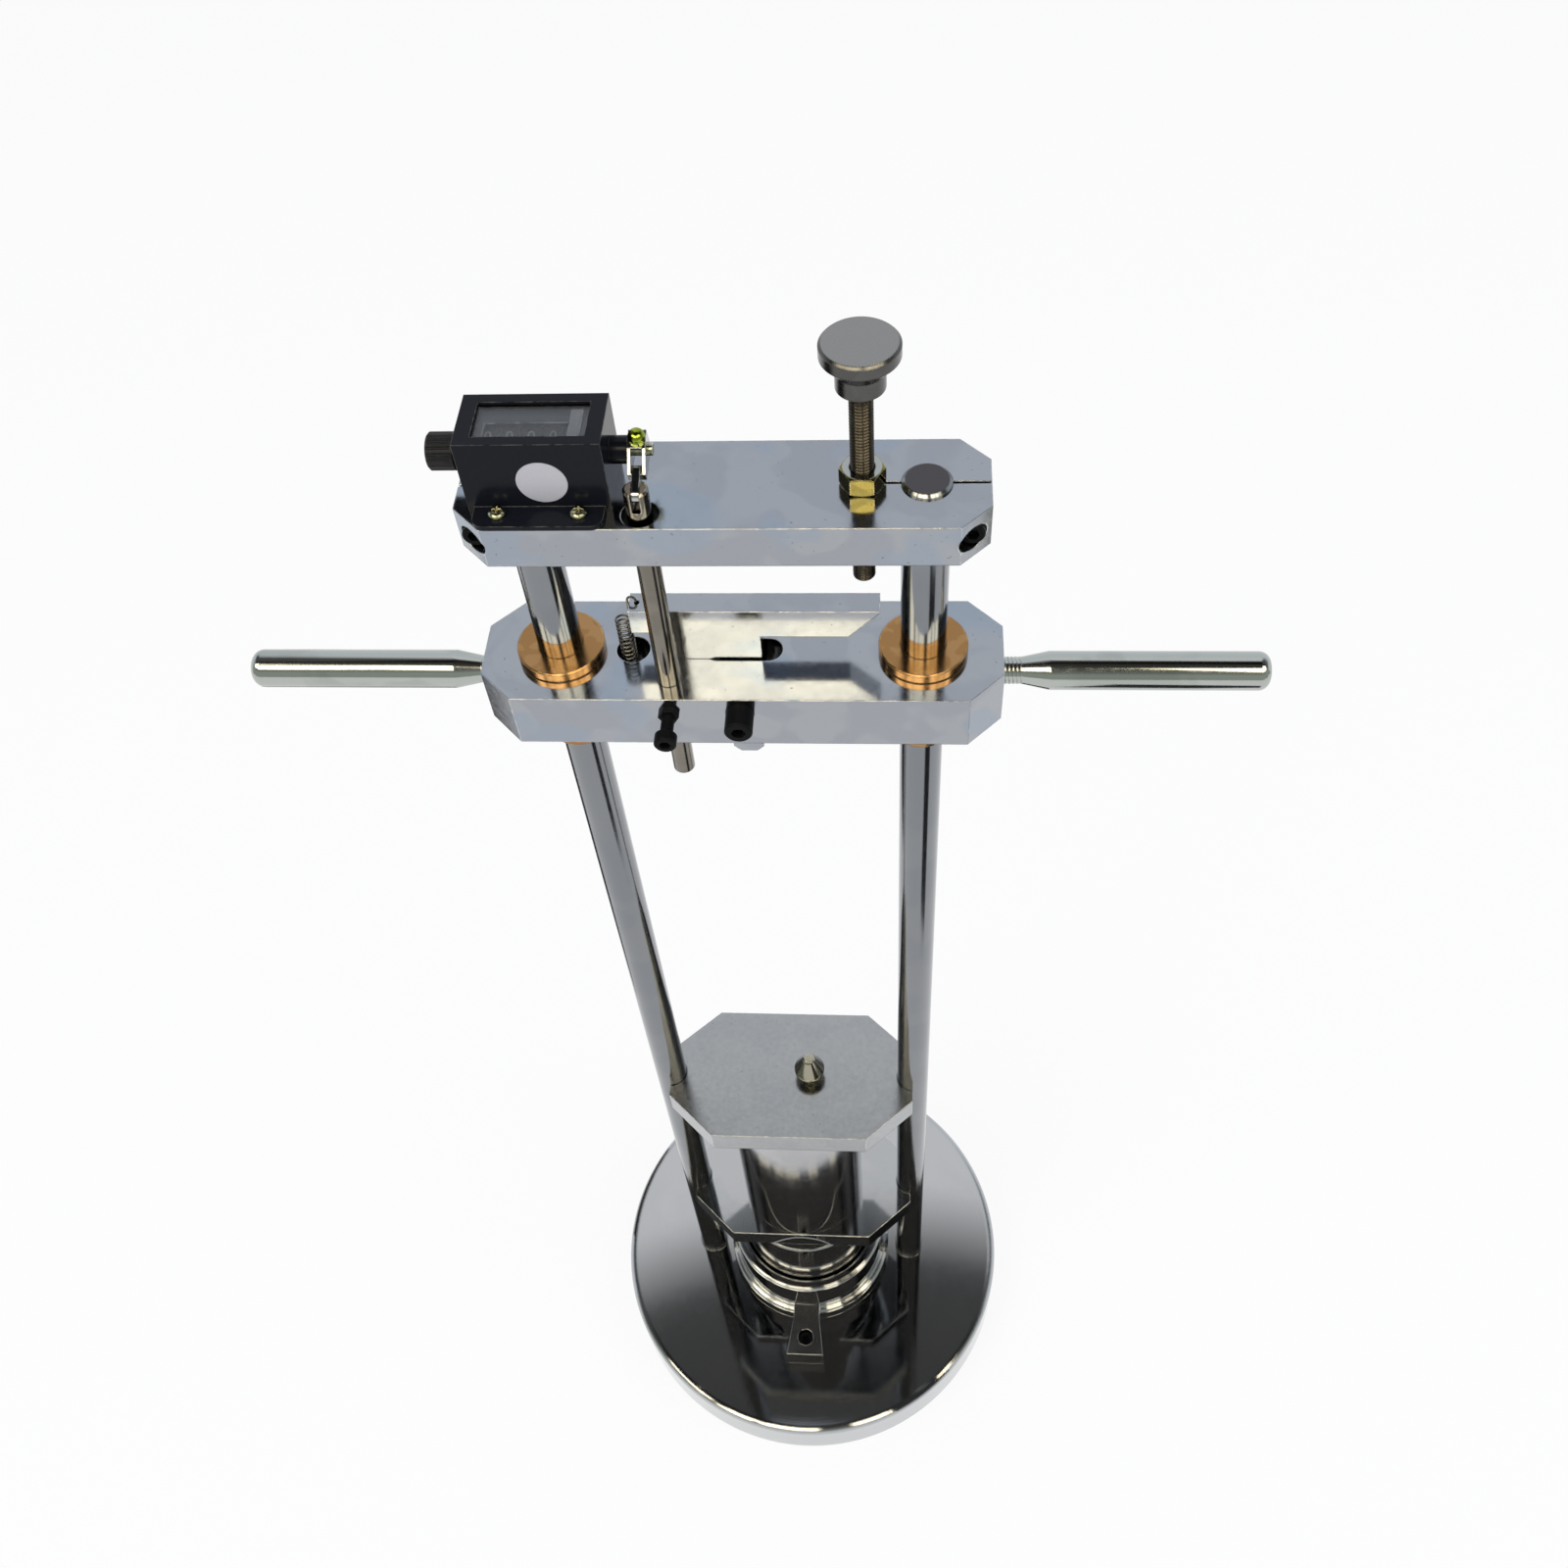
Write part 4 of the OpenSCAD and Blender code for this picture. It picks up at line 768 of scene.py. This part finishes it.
def digitOutline(character, height):
    # one flat digit, cut finely enough to be bent round a wheel
    digitShare = 0.7
    joinWithin = 0.02
    flatWithin = 0.01
    longestEdge = 0.8
    curve = bpy.data.curves.new("digitShape", "FONT")
    curve.body = character
    curve.size = height / digitShare
    curve.align_x = "CENTER"
    curve.resolution_u = 3
    holder = bpy.data.objects.new("digitShape", curve)
    scene.collection.objects.link(holder)
    bpy.context.view_layer.update()
    mesh = bpy.data.meshes.new_from_object(holder.evaluated_get(bpy.context.evaluated_depsgraph_get()))
    bpy.data.objects.remove(holder)
    bpy.data.curves.remove(curve)
    bm = bmesh.new()
    bm.from_mesh(mesh)
    bmesh.ops.remove_doubles(bm, verts=bm.verts[:], dist=joinWithin)
    bmesh.ops.dissolve_degenerate(bm, edges=bm.edges[:], dist=flatWithin)
    bmesh.ops.triangulate(bm, faces=bm.faces[:])
    longEdges = [e for e in bm.edges if e.calc_length() > longestEdge]
    bmesh.ops.subdivide_edges(bm, edges=longEdges, cuts=2)
    bmesh.ops.triangulate(bm, faces=bm.faces[:])
    bm.verts.ensure_lookup_table()
    points = [v.co.copy() for v in bm.verts]
    faces = [tuple(v.index for v in f.verts) for f in bm.faces]
    bm.free()
    bpy.data.meshes.remove(mesh)
    return points, faces


def addDigits(name, wheelIndexes, body, settings):
    # each digit is a thin closed shell bent round its wheel; 0 stands at the top, tilted to the reader
    shapes = [digitOutline(str(d), settings["height"]) for d in range(10)]
    levels = (settings["radius"] + settings["proud"], settings["radius"] - settings["sunk"])
    points, faces = [], []
    for wheel in wheelIndexes:
        middle = settings["firstX"] + wheel * settings["pitch"] + settings["width"] / 2
        for d, (shape, shapeFaces) in enumerate(shapes):
            upper = len(points)
            lower = upper + len(shape)
            turned = math.radians(settings["turnPerDigit"] * d + settings["tilt"])
            for r in levels:
                for p in shape:
                    angle = turned - (p.y - settings["height"] / 2) / settings["radius"]
                    points.append((middle + p.x, settings["shaftY"] - r * math.sin(angle),
                                   settings["shaftZ"] + r * math.cos(angle)))
            edges = {(f[i], f[(i + 1) % len(f)]) for f in shapeFaces for i in range(len(f))}
            rim = [(i, j) for i, j in sorted(edges) if (j, i) not in edges]
            faces.extend(tuple(upper + i for i in f) for f in shapeFaces)
            faces.extend(tuple(lower + i for i in reversed(f)) for f in shapeFaces)
            faces.extend((upper + j, upper + i, lower + i, lower + j) for i, j in rim)
    addMeshPiece(name, points, faces, looks["digitWhite"], body, smooth=False)


addDigits("decadeNumbers", range(4), "reset", numberWheels)
addDigits("unitsNumbers", [4], "units", numberWheels)

readingMask = {
    "x0": -91.4, "x1": -48.0, "y0": -9.5, "y1": 9.9, "z": 904.6, "thick": 0.7, "slotX0": -87.6,
    "slotX1": -53.4, "slotY0": -7.6, "slotY1": 0.6, "lip": 0.6, "lipUp": 0.9,
}


def corners(x0, y0, x1, y1, grow=0.0):
    return [(x0 - grow, y0 - grow), (x1 + grow, y0 - grow), (x1 + grow, y1 + grow), (x0 - grow, y1 + grow)]


def addReadingMask(settings):
    # a thin plate with a lip round its slot
    slot = [settings[key] for key in ("slotX0", "slotY0", "slotX1", "slotY1")]
    outer = corners(settings["x0"], settings["y0"], settings["x1"], settings["y1"])
    inner = corners(*slot)
    lipOuter = corners(*slot, grow=settings["lip"])
    low, top = settings["z"], settings["z"] + settings["thick"]
    lipTop = top + settings["lipUp"]
    loops = [(outer, low), (outer, top), (lipOuter, top), (lipOuter, lipTop), (inner, lipTop), (inner, low)]
    points = [(x, y, z) for loop, z in loops for x, y in loop]
    faces = []
    for i in range(len(loops)):
        j = (i + 1) % len(loops)
        for k in range(4):
            m = (k + 1) % 4
            faces.append((i * 4 + k, i * 4 + m, j * 4 + m, j * 4 + k))
    addMeshPiece("readingMask", points, faces, looks["maskGrey"], "frame", smooth=False)


addReadingMask(readingMask)

windowTrim = {
    "paleStop": {"low": (-55.4, -7.2, 905.4), "high": (-50.6, 8.4, 906.35), "bevel": 0.35},
    "readingLine": {"low": (-84.0, -8.9, 905.4), "high": (-56.2, -8.1, 906.3), "bevel": 0.15},
}


def addTrim(name, settings):
    bm = bmesh.new()
    bmesh.ops.create_cube(bm, size=1.0)
    low, high = (Vector(settings[key]) / 1000 for key in ("low", "high"))
    for v in bm.verts:
        v.co = Vector(((v.co[i] + 0.5) * (high[i] - low[i]) + low[i]) for i in range(3))
    bmesh.ops.bevel(bm, geom=bm.edges[:], offset=metres(settings["bevel"]), segments=2, affect="EDGES")
    mesh = bpy.data.meshes.new(name)
    bm.to_mesh(mesh)
    bm.free()
    piece = bpy.data.objects.new(name, mesh)
    scene.collection.objects.link(piece)
    mesh.materials.append(looks["paleNylon"])
    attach(piece, "frame")


for trimName, settings in windowTrim.items():
    addTrim(trimName, settings)
print("stage: counter dressed")


# camera, floor and light

viewpoint = {
    "place": (70.752, -446.036, 1288.129), "pitch": 52.944, "yaw": -7.547, "roll": -5.586,
    "focal": 1569.31, "centreX": 794.85, "centreY": 781.83, "frame": 1600.0, "sensor": 36.0,
}


def addCamera(settings):
    pitch, yaw, roll = (math.radians(settings[key]) for key in ("pitch", "yaw", "roll"))
    ahead = Vector((math.sin(yaw) * math.cos(pitch), math.cos(yaw) * math.cos(pitch), -math.sin(pitch)))
    flat = Vector((math.cos(yaw), -math.sin(yaw), 0))
    rise = flat.cross(ahead)
    right = flat * math.cos(roll) + rise * math.sin(roll)
    up = rise * math.cos(roll) - flat * math.sin(roll)
    data = bpy.data.cameras.new("viewCamera")
    half = settings["frame"] / 2
    data.sensor_fit = "HORIZONTAL"
    data.sensor_width = settings["sensor"]
    data.lens = settings["sensor"] * settings["focal"] / settings["frame"]
    data.shift_x = (half - settings["centreX"]) / settings["frame"]
    data.shift_y = (settings["centreY"] - half) / settings["frame"]
    data.clip_start = 0.05
    data.clip_end = 30
    camera = bpy.data.objects.new("viewCamera", data)
    scene.collection.objects.link(camera)
    matrix = Matrix((right, up, -ahead)).transposed().to_4x4()
    matrix.translation = Vector(settings["place"]) / 1000.0
    camera.matrix_world = matrix
    scene.camera = camera


addCamera(viewpoint)

floorLook = {
    "half": 6.0, "colour": (0.96, 0.96, 0.96), "rough": 0.7, "whiteShare": 0.88,
}


def addFloor(settings):
    # a pale floor that stays white to the eye and in the metal, and still takes the shadow
    half = settings["half"] * 1000
    material, tree, shader = startMaterial("floorWhite")
    link = tree.links.new
    shader.inputs["Base Color"].default_value = (*settings["colour"], 1.0)
    shader.inputs["Roughness"].default_value = settings["rough"]
    shader.inputs["Specular IOR Level"].default_value = 0.1
    path = addNode(tree, "ShaderNodeLightPath")
    white = addNode(tree, "ShaderNodeEmission", {"Color": (1, 1, 1, 1), "Strength": 1.0})
    mirrored = addNode(tree, "ShaderNodeMath", operation="MAXIMUM")
    seen = addNode(tree, "ShaderNodeMath", operation="MAXIMUM")
    share = addNode(tree, "ShaderNodeMath", {1: settings["whiteShare"]}, operation="MULTIPLY")
    both = addNode(tree, "ShaderNodeMixShader")
    link(path.outputs["Is Glossy Ray"], mirrored.inputs[0])
    link(path.outputs["Is Transmission Ray"], mirrored.inputs[1])
    link(mirrored.outputs[0], seen.inputs[0])
    link(path.outputs["Is Camera Ray"], seen.inputs[1])
    link(seen.outputs[0], share.inputs[0])
    link(share.outputs[0], both.inputs[0])
    link(shader.outputs[0], both.inputs[1])
    link(white.outputs[0], both.inputs[2])
    link(both.outputs[0], tree.nodes["Material Output"].inputs["Surface"])
    points = [(x, y, 0) for x, y in corners(-half, -half, half, half)]
    floor = addMeshPiece("studioFloor", points, [(0, 1, 2, 3)], material, None)


addFloor(floorLook)

lamps = {
    "keyLamp": {
        "place": (-1.4, -1.2, 2.6), "aim": (0, 0, 0.4), "size": 1.6, "power": 26.0,
        "colour": (1.0, 0.99, 0.97),
    },
    "fillLamp": {
        "place": (1.8, -0.6, 2.2), "aim": (0, 0, 0.4), "size": 1.8, "power": 16.0,
        "colour": (0.96, 0.98, 1.0),
    },
}
for lampName, settings in lamps.items():
    lampData = bpy.data.lights.new(lampName, "AREA")
    lampData.energy = settings["power"]
    lampData.size = settings["size"]
    lampData.color = settings["colour"]
    lamp = bpy.data.objects.new(lampName, lampData)
    scene.collection.objects.link(lamp)
    lamp.location = settings["place"]
    lamp.visible_glossy = False
    lamp.rotation_mode = "QUATERNION"
    lamp.rotation_quaternion = (Vector(settings["aim"]) - Vector(settings["place"])).to_track_quat("-Z", "Y")


roomLook = {
    "behind": [
        (0.0, (0.86, 0.90, 0.94)), (0.30, (0.85, 0.90, 0.95)), (0.60, (0.82, 0.86, 0.92)),
        (0.76, (0.87, 0.91, 0.96)), (0.88, (0.93, 0.94, 0.96)), (0.930, (0.96, 0.96, 0.97)),
        (0.946, (0.09, 0.09, 0.09)), (1.0, (0.045, 0.043, 0.04)),
    ],
    "inFront": [
        (0.0, (0.40, 0.44, 0.40)), (0.35, (0.42, 0.46, 0.42)), (0.58, (0.24, 0.25, 0.23)),
        (0.88, (0.10, 0.095, 0.085)), (1.0, (0.04, 0.038, 0.035)),
    ],
    "windows": [(-72, -50), (-43, -27), (-24, 2), (18, 37), (41, 54), (58, 72)],
    "windowColour": (7.4, 6.5, 4.7),
    "windowLow": 0.62,
    "windowHigh": 0.865,
    "dimSides": [
        (-150, 1.0), (-132, 0.12), (-82, 0.12), (-74, 1.0), (74, 1.0), (82, 0.12), (132, 0.12),
        (150, 1.0),
    ],
    "dimFrom": 0.35,
    "dimFull": 0.6,
    "paneSoft": 1,
    "lowSoft": 0.03,
    "highSoft": 0.02,
    "sideSoft": 0.06,
    "lightColour": (0.93, 0.96, 1.0),
    "lightStrength": 0.62,
}


def turnShare(angle):
    return (angle + 180) / 360


def grey(value):
    return (value, value, value)


def fillRamp(ramp, stops):
    while len(ramp.color_ramp.elements) < len(stops):
        ramp.color_ramp.elements.new(0.5)
    for element, (position, colour) in zip(ramp.color_ramp.elements, stops):
        element.position = position
        element.color = (*colour, 1.0)


def addRoom(settings):
    # a pale wall behind, a dark ceiling, and a row of warm windows on the side of the viewer
    world = bpy.data.worlds.new("studioRoom")
    scene.world = world
    world.use_nodes = True
    tree = world.node_tree
    tree.nodes.clear()
    link = tree.links.new
    place = addNode(tree, "ShaderNodeTexCoord")
    parts = addNode(tree, "ShaderNodeSeparateXYZ")
    behind = addNode(tree, "ShaderNodeValToRGB")
    inFront = addNode(tree, "ShaderNodeValToRGB")
    fillRamp(behind, settings["behind"])
    fillRamp(inFront, settings["inFront"])
    turned = addNode(tree, "ShaderNodeMath", {1: -1.0}, operation="MULTIPLY")
    bearing = addNode(tree, "ShaderNodeMath", operation="ARCTAN2")
    share = addNode(tree, "ShaderNodeMapRange", {"From Min": -math.pi, "From Max": math.pi})
    panes = addNode(tree, "ShaderNodeValToRGB")
    soft = settings["paneSoft"]
    paneStops = [(0.0, grey(0))]
    for start, end in settings["windows"]:
        for angle, value in ((start - soft, 0), (start + soft, 1), (end - soft, 1), (end + soft, 0)):
            paneStops.append((turnShare(angle), grey(value)))
    fillRamp(panes, paneStops)
    sill, head = settings["windowLow"], settings["windowHigh"]
    sillSoft = {"From Min": sill - settings["lowSoft"], "From Max": sill + settings["lowSoft"]}
    headSoft = {"From Min": head + settings["highSoft"], "From Max": head - settings["highSoft"]}
    low = addNode(tree, "ShaderNodeMapRange", sillSoft)
    high = addNode(tree, "ShaderNodeMapRange", headSoft)
    band = addNode(tree, "ShaderNodeMath", operation="MULTIPLY")
    lit = addNode(tree, "ShaderNodeMath", operation="MULTIPLY")
    windows = addNode(tree, "ShaderNodeMix", data_type="RGBA")
    windows.inputs["B"].default_value = (*settings["windowColour"], 1.0)
    sideSoft = {"From Min": settings["sideSoft"], "From Max": -settings["sideSoft"]}
    side = addNode(tree, "ShaderNodeMapRange", sideSoft)
    room = addNode(tree, "ShaderNodeMix", data_type="RGBA")
    sides = addNode(tree, "ShaderNodeValToRGB")
    fillRamp(sides, [(turnShare(angle), grey(value)) for angle, value in settings["dimSides"]])
    dimmed = addNode(tree, "ShaderNodeMix", data_type="RGBA", blend_type="MULTIPLY")
    dimming = {"From Min": settings["dimFrom"], "From Max": settings["dimFull"]}
    raised = addNode(tree, "ShaderNodeMapRange", dimming)
    path = addNode(tree, "ShaderNodeLightPath")
    shown = addNode(tree, "ShaderNodeBackground", {"Color": (1, 1, 1, 1), "Strength": 1.0})
    mirrored = addNode(tree, "ShaderNodeBackground", {"Strength": 1.0})
    plain = {"Color": (*settings["lightColour"], 1), "Strength": settings["lightStrength"]}
    lighting = addNode(tree, "ShaderNodeBackground", plain)
    gloss = addNode(tree, "ShaderNodeMath", operation="MAXIMUM")
    first = addNode(tree, "ShaderNodeMixShader")
    second = addNode(tree, "ShaderNodeMixShader")
    output = addNode(tree, "ShaderNodeOutputWorld")
    link(place.outputs["Generated"], parts.inputs[0])
    link(parts.outputs["Z"], behind.inputs["Fac"])
    link(parts.outputs["Z"], inFront.inputs["Fac"])
    link(parts.outputs["Y"], turned.inputs[0])
    link(parts.outputs["X"], bearing.inputs[0])
    link(turned.outputs[0], bearing.inputs[1])
    link(bearing.outputs[0], share.inputs["Value"])
    link(share.outputs[0], panes.inputs["Fac"])
    link(parts.outputs["Z"], low.inputs["Value"])
    link(parts.outputs["Z"], high.inputs["Value"])
    link(low.outputs[0], band.inputs[0])
    link(high.outputs[0], band.inputs[1])
    link(band.outputs[0], lit.inputs[0])
    link(panes.outputs["Color"], lit.inputs[1])
    link(inFront.outputs["Color"], windows.inputs["A"])
    link(lit.outputs[0], windows.inputs["Factor"])
    link(parts.outputs["Y"], side.inputs["Value"])
    link(behind.outputs["Color"], room.inputs["A"])
    link(windows.outputs["Result"], room.inputs["B"])
    link(side.outputs[0], room.inputs["Factor"])
    link(share.outputs[0], sides.inputs["Fac"])
    link(parts.outputs["Z"], raised.inputs["Value"])
    link(raised.outputs[0], dimmed.inputs["Factor"])
    link(room.outputs["Result"], dimmed.inputs["A"])
    link(sides.outputs["Color"], dimmed.inputs["B"])
    link(dimmed.outputs["Result"], mirrored.inputs["Color"])
    link(path.outputs["Is Glossy Ray"], gloss.inputs[0])
    link(path.outputs["Is Transmission Ray"], gloss.inputs[1])
    link(gloss.outputs[0], first.inputs[0])
    link(lighting.outputs[0], first.inputs[1])
    link(mirrored.outputs[0], first.inputs[2])
    link(path.outputs["Is Camera Ray"], second.inputs[0])
    link(first.outputs[0], second.inputs[1])
    link(shown.outputs[0], second.inputs[2])
    link(second.outputs[0], output.inputs["Surface"])


addRoom(roomLook)

cardLook = {"colour": (0.05, 0.05, 0.055), "rough": 0.9, "foot": 5}
flags = {
    "sideFlag": {"from": (-0.34, 0.30), "to": (-0.34, 0.07), "top": 0.55},
    "frontFlag": {"from": (0.22, -0.34), "to": (0.34, -0.22), "top": 0.5},
}


def addFlag(name, settings):
    # a dark studio card that only shows as a stripe in the bright metal
    material, _, shader = startMaterial(name)
    shader.inputs["Base Color"].default_value = (*cardLook["colour"], 1.0)
    shader.inputs["Roughness"].default_value = cardLook["rough"]
    x0, y0, x1, y1 = (v * 1000 for v in (*settings["from"], *settings["to"]))
    foot, top = cardLook["foot"], settings["top"] * 1000
    points = [(x0, y0, foot), (x1, y1, foot), (x1, y1, top), (x0, y0, top)]
    card = addMeshPiece(name, points, [(0, 1, 2, 3)], material, None)
    card.visible_camera = False
    card.visible_diffuse = False
    card.visible_shadow = False
    card.visible_transmission = False


for flagName, settings in flags.items():
    addFlag(flagName, settings)

scene.view_settings.view_transform = "Standard"
print("stage: camera, floor and light set")
